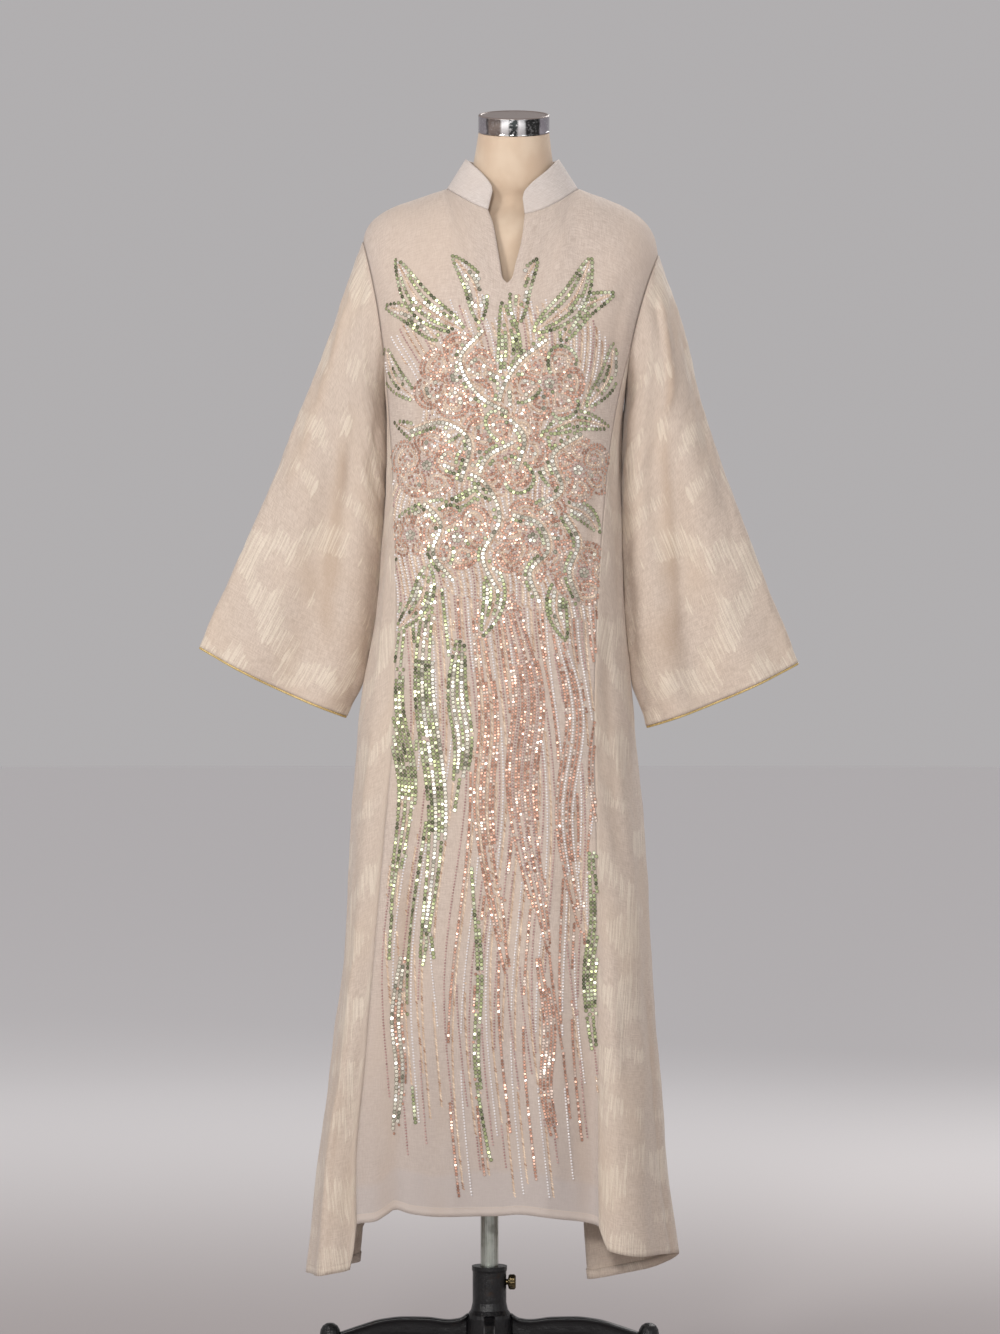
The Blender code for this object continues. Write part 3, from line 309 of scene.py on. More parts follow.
def ridge_line(side):
    """The shoulder's ridge from the middle of the neck to the armhole, and how far each point lies."""
    shoulder = SHOULDERS[side]
    share = np.linspace(0, 1, NECK_STEPS + 1)
    inside = xyz(NECK["x"] + SIGN[side] * NECK["half_width"] * share, 0,
                 NECK["height"] + NECK["arch"] * (1 - share * share))
    start = inside[-1]
    end, corner = np.array(shoulder["tip"]), np.array(shoulder["corner"])
    first, second = lerp(start, corner, SHOULDER_TURN), lerp(end, corner, SHOULDER_TURN)
    share = each(np.linspace(0, 1, SHOULDER_STEPS + 1)[1:])
    rest = 1 - share
    outside = (start * rest ** 3 + first * 3 * rest ** 2 * share + second * 3 * rest * share ** 2
               + end * share ** 3)
    points = np.concatenate((inside, outside))
    return points, run_of(points)


RIDGES = {side: ridge_line(side) for side in SHOULDERS}
NECK_ACROSS = {side: along[NECK_STEPS] / along[-1] for side, (points, along) in RIDGES.items()}


def ridge(side, across):
    points, along = RIDGES[side]
    return at_places(np.clip(across, 0, 1) * along[-1], along, points)


def yoke(side, across, turn, front):
    across, turn = paired(across, turn)
    sign = np.where(across < 0, -1, 1) * SIGN[side]
    across = np.abs(across)
    around = sign * (across if front else 3 - across)
    end = folded(around, top_height(around))
    top = np.where(each(sign) < 0, ridge("left", across), ridge("right", across))
    power = 2 / YOKE_POWER[front]
    level = np.maximum(np.cos(turn), 0.0)
    return xyz(end[..., 0] + (top[..., 0] - end[..., 0]) * level ** 2, end[..., 1] * np.sin(turn) ** power,
               end[..., 2] + (top[..., 2] - end[..., 2]) * level ** power)


def yoke_place(side, x, y, front):
    """Across and turn of the yoke's points that have this x and y."""
    low, high = np.full_like(x, -0.3), np.ones_like(x)
    for _ in range(30):
        across = (low + high) / 2
        depth = np.abs(yoke(side, across, pi / 2, front)[..., 1])
        turn = np.arcsin(np.minimum(np.abs(y) / depth, 1.0) ** (YOKE_POWER[front] / 2))
        past = (yoke(side, across, turn, front)[..., 0] - x) * SIGN[side] > 0
        high, low = np.where(past, across, high), np.where(past, low, across)
    return across, turn


def neck_point(angle):
    """The neckline's oval seen from above: 0 at the front, positive angles to the left."""
    reach = np.where(np.cos(angle) > 0, NECK["front"], NECK["back"])
    return NECK["x"] - NECK["half_width"] * np.sin(angle), -reach * np.cos(angle)


def neck_oval(angle):
    angle = np.asarray(angle, dtype=float)
    x, y = neck_point(angle)
    found = np.zeros(angle.shape + (3,))
    for side in SHOULDERS:
        for front in (True, False):
            here = ((np.sin(angle) > 0) == (side == "left")) & ((y <= 0) == front)
            if here.any():
                found[here] = yoke(side, *yoke_place(side, x[here], y[here], front), front)
    return found


def start_place(side, place, front):
    """Across and turn of the panel's top edge from the middle (0) to the armhole (1)."""
    place = np.asarray(place, dtype=float)
    start = COLLAR_ENDS[side][0] if front else pi
    angle = lerp(start, pi / 2, np.minimum(place / NECK_SHARE, 1.0))
    x, y = neck_point(angle if side == "left" else -angle)
    across, turn = yoke_place(side, x, y, front)
    outer = lerp(NECK_ACROSS[side], 1.0, (place - NECK_SHARE) / (1 - NECK_SHARE))
    on_shoulder = place >= NECK_SHARE
    return np.where(on_shoulder, outer, across), np.where(on_shoulder, 0.0, turn)


def fall(side, place, share, front):
    across, turn = start_place(side, place, front)
    return yoke(side, lerp(across, place, smooth(share)), lerp(turn, pi / 2, share), front)


def to_armhole(side, place, share, front):
    edge = armhole(side, JOINT * share if front else -JOINT * share)
    return (edge - fall(side, np.array(1.0), share, front)) * each(smooth((place - 0.5) / 0.5))


def slit_edge(side, share):
    depth = abs(yoke(side, 0.0, pi / 2, True)[1])
    start = math.asin((NECK["front"] / depth) ** (YOKE_POWER[True] / 2))
    along = np.minimum(share / SLIT_END, 1.0)
    sign = SIGN[side]
    first = xyz(sign * SLIT[side][0], 0, 0) + yoke(side, 0.0, start, True)
    top = fall(side, np.array(0.0), 0.0, True) - first
    return (yoke(side, 0.0, lerp(start, pi / 2, share), True)
            + xyz(sign * read(SLIT, side, "along", along), 0, 0) + top * each(1 - along))


def panel_points(side, place, down, front):
    """A front or back panel's outer face: place from its middle (0) to its seam (1), a row of them,
    and down from its top (0) to its hem (1), a column of them."""
    sign = SIGN[side]
    place, down = place[None, :], down[:, None]
    high, low = down[down[:, 0] < YOKE], down[down[:, 0] >= YOKE]
    share = high / YOKE
    upper = fall(side, place, share, front) + to_armhole(side, place, share, front)
    if front:
        pull = each(fading(place, SLIT_SPREAD))
        upper = upper + (slit_edge(side, share) - fall(side, np.array(0.0), share, True)) * pull
    around = sign * place if front else sign * (3 - place)
    return np.concatenate((upper, skirt(around + 0 * low, (low - YOKE) / (1 - YOKE))))


def side_points(side, place, down):
    return skirt(SIGN[side] * (1 + place[None, :]), down[:, None])


print("the ridges are", [round(float(along[-1]), 3) for points, along in RIDGES.values()], "m long")


# %% The sleeves and the collar
SLEEVES = {
    "left": table(
        "along out_x out_z in_x in_z half y",
        (0, 0.184, 1.598, 0.1525, 1.4, 0.061, 0), (0.1, 0.2035, 1.541, 0.164, 1.352, 0.056, -0.002),
        (0.2, 0.223, 1.484, 0.167, 1.306, 0.05, -0.004), (0.4, 0.267, 1.371, 0.1715, 1.222, 0.041, -0.006),
        (0.6, 0.311, 1.26, 0.174, 1.138, 0.035, -0.006), (0.8, 0.357, 1.157, 0.1815, 1.05, 0.032, -0.006),
        (1, 0.4033, 1.052, 0.2055, 0.959, 0.03, -0.006),
    ),
    "right": table(
        "along out_x out_z in_x in_z half y",
        (0, 0.214, 1.58, 0.17, 1.41, 0.061, 0), (0.1, 0.231, 1.529, 0.18, 1.366, 0.056, -0.002),
        (0.2, 0.2485, 1.477, 0.182, 1.318, 0.05, -0.004), (0.4, 0.275, 1.37, 0.176, 1.232, 0.041, -0.006),
        (0.6, 0.3165, 1.25, 0.176, 1.14, 0.035, -0.006), (0.8, 0.3575, 1.141, 0.18, 1.047, 0.032, -0.006),
        (1, 0.4019, 1.031, 0.2, 0.946, 0.03, -0.006),
    ),
}
SLEEVE_FOLDS = table(
    "around reach out start",
    (0.17, 0.09, 0.007, 0.05), (0.27, 0.08, -0.011, 0.1), (0.36, 0.08, 0.006, 0.2),
    (0.62, 0.09, -0.009, 0.15), (0.72, 0.09, 0.008, 0.1), (0.84, 0.09, -0.008, 0.2),
)
CUFF_SAG = 0.006
SLEEVE_GAP = {"top": 0.0008, "underarm": 0.0013}


def sleeve_points(side, turn, along):
    """A sleeve's outer face: turn 0 at the top edge, 0.5 at the underarm, the front half first."""
    sign = SIGN[side]
    turn, along = np.broadcast_arrays(turn[None, :], along[:, None])
    angle = 2 * pi * turn
    edge = measures(SLEEVES[side], "along", along)
    inward = (1 - np.cos(angle)) / 2
    point = xyz(sign * lerp(edge["out_x"], edge["in_x"], inward), edge["y"] - edge["half"] * np.sin(angle),
                lerp(edge["out_z"], edge["in_z"], inward))
    for fold in rows_of(SLEEVE_FOLDS):
        grown = smooth((along - fold["start"]) / 0.5)
        rise = hump((turn - fold["around"]) / fold["reach"]) * grown
        point[..., 1] += np.where(turn < 0.5, -1, 1) * fold["out"] * rise
    point[..., 2] -= CUFF_SAG * np.sin(angle) ** 2 * smooth((along - 0.6) / 0.4)
    hollow = ARMHOLE_HOLLOW * np.sin(angle) ** 2 * fading(along, 0.12)
    gap = lerp(SLEEVE_GAP["top"], SLEEVE_GAP["underarm"], np.minimum(np.sin(angle / 2) ** 2 * 2, 1))
    point[..., 0] += sign * (gap * np.maximum(0.0, 1 - along / 0.2) - hollow)
    return point


def collar_points(angle, up):
    left, right = COLLAR_ENDS["left"], COLLAR_ENDS["right"]
    start, end = left[0], 2 * pi - right[0]
    near_left = np.minimum((angle - start) / COLLAR_ROUND, 1)
    near_right = np.minimum((end - angle) / COLLAR_ROUND, 1)
    height = np.minimum(lerp(left[1], COLLAR_HEIGHT, np.sqrt(1 - (1 - near_left) ** 2)),
                        lerp(right[1], COLLAR_HEIGHT, np.sqrt(1 - (1 - near_right) ** 2)))
    base = neck_oval(angle)
    reach = np.where(np.cos(angle) > 0, COLLAR_TOP["front"], COLLAR_TOP["back"])
    full = xyz(COLLAR_TOP["x"] - COLLAR_TOP["half_width"] * np.sin(angle),
               COLLAR_TOP["y"] - reach * np.cos(angle), base[:, 2] + COLLAR_HEIGHT)
    share = up[:, None] * height[None, :] / COLLAR_HEIGHT
    return base + (full - base) * each(share)


print("cuffs end at", sleeve_points("left", np.array([0.0, 0.5]), np.array([1.0])).round(3).tolist())

# %% [markdown]
# ## Creases
#
# Hung cloth keeps soft troughs and ridges where it was folded, pulled or sewn. We place each one
# in the cloth's own coordinates, with its own length, width and depth. None of them is straight,
# and each fades out at both ends. A few slow waves under them keep the cloth from looking ironed.


# %% Crease tables and the depth they give
# Each row says where a crease starts and ends, as place and down, and its bow, in hundredths, and then
# its width and depth in millimetres.
CREASES = {
    "front_panel": (
        (86, 6.5, 83, 20, 2, 7, -3.4), (74, 3, 90, 17, -3, 12, 2.2), (-80, 10, -74, 26, 3, 10, -2.2),
        (-62, 2, -84, 13, 4, 13, 1.8), (-88, 24, -82, 52, 3, 13, 2.6), (-70, 40, -78, 66, -2, 15, -2.4),
        (-84, 58, -74, 99, 4, 11, -4.8), (-60, 76, -69, 102, 2, 14, 4.2), (-38, 80, -44, 101, -2, 16, -2.6),
        (-12, 72, -4, 101, 2, 18, 2.4), (18, 78, 14, 102, 2, 14, -2.4), (46, 66, 52, 101, -3, 17, 3),
        (78, 50, 84, 98, 3, 12, -4), (88, 22, 80, 50, 3, 12, -2.6), (64, 34, 70, 58, 2, 16, 2),
        (10, 30, -6, 52, 3, 20, 1.4), (-30, 24, -36, 46, 2, 19, -1.4), (36, 14, 30, 30, 2, 18, -1.3),
        (95, 55, 93, 86, 1, 7, 2.2), (-94, 30, -93, 60, 1, 7, -1.8),
    ),
    "back_panel": (
        (-85, 6, -66, 24, 4, 12, -3), (82, 5, 60, 22, -4, 12, -2.8), (-55, 10, -44, 40, 3, 18, 3.6),
        (48, 12, 38, 44, -3, 18, 3.4), (-20, 16, -12, 50, 2, 17, -3), (14, 22, 5, 62, -3, 18, 3.2),
        (-78, 34, -70, 80, 3, 15, -4.4), (76, 36, 66, 78, -3, 14, -4), (-36, 50, -30, 101, 3, 16, 4.4),
        (30, 56, 36, 101, -3, 16, -4.2), (0, 66, -4, 101, 2, 18, -3.6), (-58, 74, -64, 102, -2, 13, 3.6),
        (58, 70, 54, 102, 2, 14, 3.8), (88, 60, 90, 98, 2, 10, 3),
    ),
    "side_panel_left": (
        (30, 2, 22, 26, 4, 10, -2.8), (66, 1, 72, 24, -4, 11, 2.6), (14, 18, 12, 56, 2, 9, 2.6),
        (50, 22, 46, 62, 5, 14, -3.6), (22, 50, 28, 99, -3, 10, -3.4), (9, 62, 12, 101, 1, 7, -2.4),
        (86, 30, 84, 74, 3, 12, 3), (64, 66, 60, 101, 2, 11, 3),
    ),
    "side_panel_right": (
        (28, 2, 20, 30, 4, 10, -3), (62, 1, 70, 22, -4, 11, 2.6), (12, 24, 15, 60, -2, 9, -2.8),
        (46, 26, 44, 66, 4, 14, 3.4), (24, 46, 20, 99, 3, 11, 3.4), (36, 60, 40, 101, -2, 10, -3.2),
        (88, 28, 86, 76, 3, 12, -3.2), (6, 58, 8, 94, 1, 7, 2.2),
    ),
    "sleeve_left": (
        (9, 2, 13, 62, 2, 8, -4.2), (20, 5, 19, 98, -2, 10, 3.4), (24, 20, 32.5, 90, 0, 7, -6),
        (41, 3, 38, 40, -2, 9, 3), (35, 48, 40, 101, 2, 13, -4), (12, 55, 9, 101, 1, 12, 3.4),
        (25, 62, 27, 101, -1, 10, -3.4), (45, 30, 44, 92, 1, 9, 2.6), (60, 4, 64, 56, 2, 10, -4),
        (70, 10, 72, 98, -2, 11, 3.6), (82, 3, 80, 60, 2, 9, -3.6), (88, 50, 90, 101, 1, 12, -3.4),
        (56, 52, 58, 101, -1, 10, 3), (17, 0, 12, 16, 1, 6, 2.8),
    ),
    "sleeve_right": (
        (14, 2, 22, 34, 1, 6, -5.6), (21, 24, 32.5, 94, 1, 6, -5.6), (8, 6, 10, 70, -2, 10, 3.4),
        (27, 4, 34, 60, -2, 9, 3.4), (38, 5, 40, 50, 2, 8, -3.6), (43, 36, 41, 101, 2, 11, 3.2),
        (16, 50, 13, 101, 1, 11, 3.2), (34, 66, 36, 101, -1, 10, -3), (62, 4, 60, 60, 2, 10, 3.6),
        (70, 12, 74, 96, -2, 10, -4.2), (80, 4, 84, 54, 2, 10, 3.6), (90, 40, 87, 101, 1, 12, -3.4),
        (55, 50, 54, 101, 1, 10, -3), (19, 0, 15, 14, 1, 6, 2.6),
    ),
}
WAVES = table(
    "across down start size",
    (9, 4, 0.3, 0.0005), (17, -6, 1.9, 0.0003), (-13, 9, 4.2, 0.00034),
    (31, 13, 2.7, 0.00018), (-24, 22, 5.3, 0.00016), (46, -9, 0.9, 0.00012),
)


WIDENING = 0.6                # a crease's end is wider than its start by this share
GENTLE_FLANK = 1.7            # one flank of a crease is this many times as wide as the other
FADE_IN, FADE_OUT = 0.32, 0.25
RUNS_OUT = 0.98               # a crease that reaches this far down runs out over the hem


def mm(value):
    """Millimetres as metres."""
    return np.asarray(value) / 1000


def bell(gap):
    return np.exp(-gap * gap)


def crease_depth(name, place, down, scale, around=False):
    """How far the cloth moves outwards. scale is the cloth's width in metres for one unit of place."""
    found = np.zeros(np.broadcast(place, down).shape)
    for i, row in enumerate(CREASES[name]):
        (from_place, first, to_place, last, bow), (width, depth) = np.array(row[:5]) / 100, mm(row[5:])
        share = (down - first) / (last - first)
        inside = np.clip(share, 0, 1)
        middle = lerp(from_place, to_place, share) + bow * np.sin(pi * inside)
        gap = place - middle
        if around:
            gap = (gap + 0.5) % 1 - 0.5
        width = width * (1 + WIDENING * inside)
        width = np.where(gap * (-1) ** i > 0, width, width * GENTLE_FLANK)
        ends = smooth(share / FADE_IN) * smooth((1 - share) / FADE_OUT if last < RUNS_OUT else 1.0)
        ends = np.where((share < 0) | (share > 1.2), 0.0, ends)
        found += depth * bell(gap * scale / width) * ends
    for wave in rows_of(WAVES):
        phase = 2 * pi * (wave["across"] * place * scale + wave["down"] * down) + wave["start"]
        found += wave["size"] * np.sin(phase)
    return found


print(sum(len(rows) for rows in CREASES.values()), "creases")

# %% [markdown]
# ## From a grid of points to a cloth shell
#
# A shell starts as a grid. We measure it to get the cloth's own coordinates in metres, u across and
# v along the grain, so that every weave has its true scale. Then the creases move the points along the
# normals, and a Solidify modifier gives the cloth its thickness. At the sewn edges the move fades
# out, and the edge turns in by a tenth of a millimetre, which makes the seam show as a fine groove.


# %% Build a shell
def normals_of(points, closed=False):
    """Unit normals of a grid of points, rows running down and columns running across."""
    padded = np.concatenate((points[:, -2:-1], points, points[:, 1:2]), axis=1) if closed else points
    across = np.gradient(padded, axis=1)
    across = across[:, 1:-1] if closed else across
    normal = np.cross(across, np.gradient(points, axis=0))
    return normal / np.maximum(np.linalg.norm(normal, axis=-1, keepdims=True), 1e-12)


def lengths(points, axis):
    steps = np.linalg.norm(np.diff(points, axis=axis), axis=-1)
    return np.insert(np.cumsum(steps, axis=axis), 0, 0.0, axis=axis)


def cloth_places(points, middle_column):
    """u and v in metres: across from a middle column, and down its length."""
    across = lengths(points, 1)
    down = lengths(points, 0).mean(axis=1, keepdims=True) + 0 * across
    return across - across[:, middle_column:middle_column + 1], down


def link(made):
    bpy.context.scene.collection.objects.link(made)
    return made


def make_mesh(name, vertices, faces, uvs=None, curved=True, sharp=None):
    """A mesh object, with uvs for each corner, smooth where it is curved and sharp past an angle."""
    mesh = bpy.data.meshes.new(name)
    mesh.from_pydata(vertices.tolist(), [], faces)
    mesh.polygons.foreach_set("use_smooth", np.full(len(mesh.polygons), curved))
    if uvs is not None:
        layer = mesh.uv_layers.new(name="cloth")
        layer.data.foreach_set("uv", uvs.astype(np.float32).ravel())
    if sharp:
        mesh.set_sharp_from_angle(angle=math.radians(sharp))
    return link(bpy.data.objects.new(name, mesh))


def quads_of(rows, columns, start=0):
    first = start + np.arange(rows - 1)[:, None] * columns + np.arange(columns - 1)[None, :]
    return np.stack((first, first + 1, first + columns + 1, first + columns), -1).reshape(-1, 4)


def welded(grid, digits=6):
    """A grid whose equal points are one: its points, its faces and where in the grid each corner was."""
    points, index = np.unique(np.round(grid.reshape(-1, 3), digits), axis=0, return_inverse=True)
    index = index.ravel().tolist()
    faces, sources = [], []
    for quad in quads_of(*grid.shape[:2]).tolist():
        corners = {}
        for source in quad:
            corners.setdefault(index[source], source)
        if len(corners) > 2:
            faces.append(list(corners))
            sources += corners.values()
    return points, faces, sources


def shell(name, grids, wall, flip):
    """One cloth piece from grids of (points, u, v, fold), where fold is the share of painted shade in the
    cloth's troughs. Equal points are sewn into one.
    """
    points = np.concatenate([grid[0].reshape(-1, 3) for grid in grids])
    places = np.concatenate([np.stack(grid[1:], -1).reshape(-1, len(grid) - 1) for grid in grids])
    quads, start = [], 0
    for grid in grids:
        quads.append(quads_of(*grid[0].shape[:2], start))
        start += grid[0].shape[0] * grid[0].shape[1]
    quads = np.concatenate(quads)
    if flip:
        quads = quads[:, ::-1]
    unique, index = np.unique(np.round(points, 6), axis=0, return_inverse=True)
    index = index.ravel()
    kept = np.array([len(set(quad)) == 4 for quad in index[quads].tolist()])
    quads = quads[kept]
    made = make_mesh(name, unique, index[quads].tolist(), places[quads][..., :2])
    if places.shape[1] > 2:
        # fold: the share of painted shade, most in the cloth's troughs
        fold = made.data.attributes.new("fold", "FLOAT", "CORNER")
        fold.data.foreach_set("value", places[quads][..., 2].astype(np.float32).ravel())
    thick = made.modifiers.new("cloth thickness", "SOLIDIFY")
    thick.thickness = wall
    thick.offset = -1
    thick.use_even_offset = False
    print(name, len(unique), "points")
    return made


def relaxed(points, weight):
    """The grid with its rows evened out ten times, where weight says so, and its two sides kept."""
    for _ in range(10):
        even = (points[:, :-2] + 2 * points[:, 1:-1] + points[:, 2:]) / 4
        points[:, 1:-1] += (even - points[:, 1:-1]) * each(weight)
    return points


def meet(points, edges, weight):
    """The grid with its first row drawn to the nearest places of the edges it is sewn to."""
    share = np.linspace(0, 1, 6, endpoint=False)[:, None, None]
    edge = np.concatenate([lerp(line[:-1], line[1:], share).reshape(-1, 3) for line in edges])
    gap = edge[None] - points[0][:, None]
    far = np.linalg.norm(gap, axis=-1)
    nearest = far.argmin(axis=1)
    columns = np.arange(len(nearest))
    move = gap[columns, nearest] * smooth(2 - far[columns, nearest] / MEETING_REACH)[:, None]
    return points + weight[:, None, None] * move[None]


EDGE_REACH = 0.012      # creases fade out this close to a sewn edge
SEAM_DIP = 0.00012      # and the edge itself turns in by this much
SEAM_WIDTH = 0.0024
MEETING_REACH = 0.007
FOLD_FULL_SHADE_DEPTH = 0.006      # the painted fold shade is full at this depth
SEAM = 0.0003           # room between pieces that lie on one another


def creased(name, points, place, down, scale, sign, seams, closed=False):
    """The points with their creases, the normals, and how deep each point lies in a fold, which sets its
    share of painted shade.
    seams are (coordinate, edge, metres for one unit)."""
    depth = crease_depth(name, place, down, scale, closed)
    dip = np.zeros_like(depth)
    for coordinate, edge, size in seams:
        gap = np.abs(coordinate - edge) * size
        depth = depth * smooth(gap / EDGE_REACH)
        dip = np.maximum(dip, SEAM_DIP * bell(gap / SEAM_WIDTH))
    normal = normals_of(points, closed) * sign
    return points + normal * each(depth - dip), normal, np.clip(-depth / FOLD_FULL_SHADE_DEPTH, 0, 1) ** 1.6


# %% [markdown]
# ## The front panel, cut in one with its slit
#
# Both halves run from the middle to the seam. They share the middle line below the slit, and part above
# it. Rows crowd together in the yoke, where the cloth bends most. The last rows are kept, because
# the turned-up hem, the facing and the stitches are laid on the same points.

# %% Front and back panels
PIECES = {}
LAID = {}
SLIT_ROWS, YOKE_ROWS, SKIRT_ROWS = 37, 57, 189
PANEL_DROP, SIDE_DROP, SLEEVE_DROP = 1.4, 1.2, 0.62      # about how long they are, for the seams' fading
PANEL_LENGTH = 1.345      # both halves of a panel end at this v, so a band along the hem runs on


def panel_grid(name, side, place, down, front):
    points = panel_points(side, place, down, front)
    even = smooth(down / 0.02) * (1 - smooth((down - YOKE) / 0.1))
    points = relaxed(points, even[:, None] * np.ones(len(place) - 2))
    sign = SIGN[side]
    grid_place, grid_down = np.broadcast_arrays(sign * place[None, :], down[:, None])
    width = lengths(points, 1)[:, -1:]
    outward = 1 if (sign > 0) == front else -1
    seams = [(np.abs(grid_place), 1.0, width), (grid_down, 0.0, PANEL_DROP)]
    moved, normal, fold = creased(name, points, grid_place, grid_down, width, -outward, seams)
    across = lengths(points, 1) * sign
    length = lengths(points, 0)[:, -1:]
    length = length * (PANEL_LENGTH / length[-1]) + 0 * across
    LAID[name, side] = (moved, normal, place, down)
    return moved, across, length, fold


def panel(name, front, columns):
    place = np.linspace(0, 1, columns)
    slit = np.linspace(0, YOKE * SLIT_END, SLIT_ROWS)
    rest = np.linspace(YOKE * SLIT_END, YOKE, YOKE_ROWS - SLIT_ROWS + 1)[1:]
    down = np.concatenate((slit, rest, np.linspace(YOKE, 1.0, SKIRT_ROWS + 1)[1:]))
    grids = []
    for side in SHOULDERS:
        grid = panel_grid(name, side, place, down, front)
        grids.append([part[:, ::-1] for part in grid] if side == "left" else list(grid))
    left, right = grids
    shared = down >= YOKE * SLIT_END - 1e-9 if front else np.ones(len(down), dtype=bool)
    middle = (left[0][:, -1] + right[0][:, 0]) / 2
    left[0][shared, -1] = middle[shared]
    right[0][shared, 0] = middle[shared]
    PIECES[name] = shell(name + "_cloth", grids, WALL, flip=front)


panel("front_panel", True, 52)
panel("back_panel", False, 44)

# %% [markdown]
# ## Side panels, sleeves and collar
#
# These are plain grids. A sleeve's grid closes on itself along its upper edge. A collar is two plies
# with a stiffener between them, so we make it thicker than the rest and without creases.


# %% Side panels, sleeves and collar
SIDE_COLUMNS, SLEEVE_COLUMNS, COLLAR_COLUMNS = 60, 109, 150
COLLAR_WALL = 0.0024


def side_panel(side):
    name = "side_panel_" + side
    place, down = np.linspace(0, 1, SIDE_COLUMNS), np.linspace(0, 1, 200)
    points = side_points(side, place, down)
    grid_place, grid_down = np.broadcast_arrays(place[None, :], down[:, None])
    width = lengths(points, 1)[:, -1:]
    sign = SIGN[side]
    seams = [(grid_place, 0.0, width), (grid_place, 1.0, width), (grid_down, 0.0, SIDE_DROP)]
    moved, normal, fold = creased(name, points, grid_place, grid_down, width, -sign, seams)
    LAID[name, side] = (moved, normal, place, down)
    places = cloth_places(points, SIDE_COLUMNS // 2 - 1)
    PIECES[name] = shell(name + "_cloth", [(moved, *places, fold)], WALL, flip=sign > 0)


SLEEVE_REST, DRAWN_MOST = -0.0012, 0.015     # how near the sleeve hangs, and how far it may be drawn in
DRAWN_FROM, DRAWN_FULL, DRAWN_TO = 0.96, 1.41, 1.48      # between the first and last of these heights


def drawn_in(points, side, turn):
    """The sleeve's inner edge drawn towards the body until it all but rests against it."""
    sign = SIGN[side]
    body = np.concatenate([LAID[name, side][0].reshape(-1, 3)
                           for name in ("front_panel", "back_panel", "side_panel_" + side)])
    heights = np.arange(DRAWN_FROM, DRAWN_TO, 0.02)
    pull = []
    for height in heights:
        inner = (sign * points[np.abs(points[..., 2] - height) < 0.008][:, 0]).min()
        outer = (sign * body[np.abs(body[:, 2] - height) < 0.008][:, 0]).max()
        pull.append(np.clip(inner - outer - SLEEVE_REST, 0, DRAWN_MOST))
    pull = np.convolve(np.pad(pull, 1, mode="edge"), (0.25, 0.5, 0.25), "valid")
    pull *= smooth((heights - DRAWN_FROM) / 0.06) * (1 - smooth((heights - DRAWN_FULL) / 0.05))
    inner_share = ((1 - np.cos(2 * pi * turn)) / 2) ** 2.2
    moved = points.copy()
    moved[..., 0] -= sign * np.interp(points[..., 2], heights, pull, 0.0, 0.0) * inner_share[None, :]
    return moved


def sleeve(side):
    name = "sleeve_" + side
    turn, along = np.linspace(0, 1, SLEEVE_COLUMNS), np.linspace(0, 1, 130)
    points = sleeve_points(side, turn, along)
    points[:, -1] = points[:, 0]
    grid_turn, grid_along = np.broadcast_arrays(turn[None, :], along[:, None])
    width = lengths(points, 1)[:, -1:]
    sign = SIGN[side]
    moved, normal, fold = creased(name, points, grid_turn, grid_along, width, -sign,
                                  [(grid_along, 0.0, SLEEVE_DROP)], closed=True)
    edges = [LAID[panel_name, side][0][:YOKE_ROWS, -1] for panel_name in ("front_panel", "back_panel")]
    edges.append(LAID["side_panel_" + side, side][0][0])
    moved = meet(moved, edges, fading(along, 0.07))
    moved = drawn_in(moved, side, turn)
    moved[:, -1] = moved[:, 0]
    LAID[name, side] = (moved, normal, turn, along)
    places = cloth_places(points, SLEEVE_COLUMNS // 4)
    PIECES[name] = shell(name + "_cloth", [(moved, *places, fold)], WALL, flip=sign > 0)


def collar():
    start, end = COLLAR_ENDS["left"][0], 2 * pi - COLLAR_ENDS["right"][0]
    angle, up = lerp(start, end, np.linspace(0, 1, COLLAR_COLUMNS)), np.linspace(0.03, 1, 16)
    neck_edges = [LAID[name, side][0][0] for name in ("front_panel", "back_panel") for side in SHOULDERS]
    points = meet(collar_points(angle, up), neck_edges, fading(up, 0.3))
    LAID["collar", "both"] = (points, normals_of(points), angle, up)
    places = cloth_places(points, COLLAR_COLUMNS // 2)
    PIECES["collar"] = shell("collar_cloth", [(points, *places)], COLLAR_WALL, flip=True)


for side in SHOULDERS:
    side_panel(side)
    sleeve(side)
collar()

# %% [markdown]
# ## Hems, facing and the gold cuff edge
#
# A turned-up hem is a second layer inside the first. We take the last rows of each panel, move them in by
# the cloth's thickness and give them their own thickness. The facing of the slit is made the same
# way. Each cuff ends in a rolled edge of gold thread, a thin rope whose strands wind round it.


# %% Turn-ups and the facing
LAYER = 0.0011
TURN_UP_ROWS = 3
FACING_ROWS, FACING_COLUMNS = 40, 6


def inner_layer(name, keys, rows, columns, flip):
    grids = []
    for key in keys:
        points, normal = LAID[key][:2]
        part = points[rows, columns] - (normal[rows, columns] * NORMAL_SIGN[key]) * (WALL + SEAM)
        if key[0] in ("front_panel", "back_panel") and key[1] == "left":
            part = part[:, ::-1]
        grids.append((part, *cloth_places(part, 0)))
    PIECES[name] = shell(name + "_cloth", grids, LAYER, flip)


NORMAL_SIGN = {}
for key, (points, normal, *rest) in LAID.items():
    away = points - points.mean(axis=(0, 1)) if key[0].startswith("sleeve") else points * (1, 1, 0)
    NORMAL_SIGN[key] = math.copysign(1.0, float((normal * away).sum()))
last_rows = slice(-TURN_UP_ROWS, None)
inner_layer("hem_front", [("front_panel", side) for side in SHOULDERS], last_rows, slice(None), True)
inner_layer("hem_back", [("back_panel", side) for side in SHOULDERS], last_rows, slice(None), False)
for side in SHOULDERS:
    inner_layer("hem_" + side, [("side_panel_" + side, side)], last_rows, slice(None), side == "right")
inner_layer("neck_facing", [("front_panel", side) for side in SHOULDERS], slice(FACING_ROWS),
            slice(FACING_COLUMNS), True)


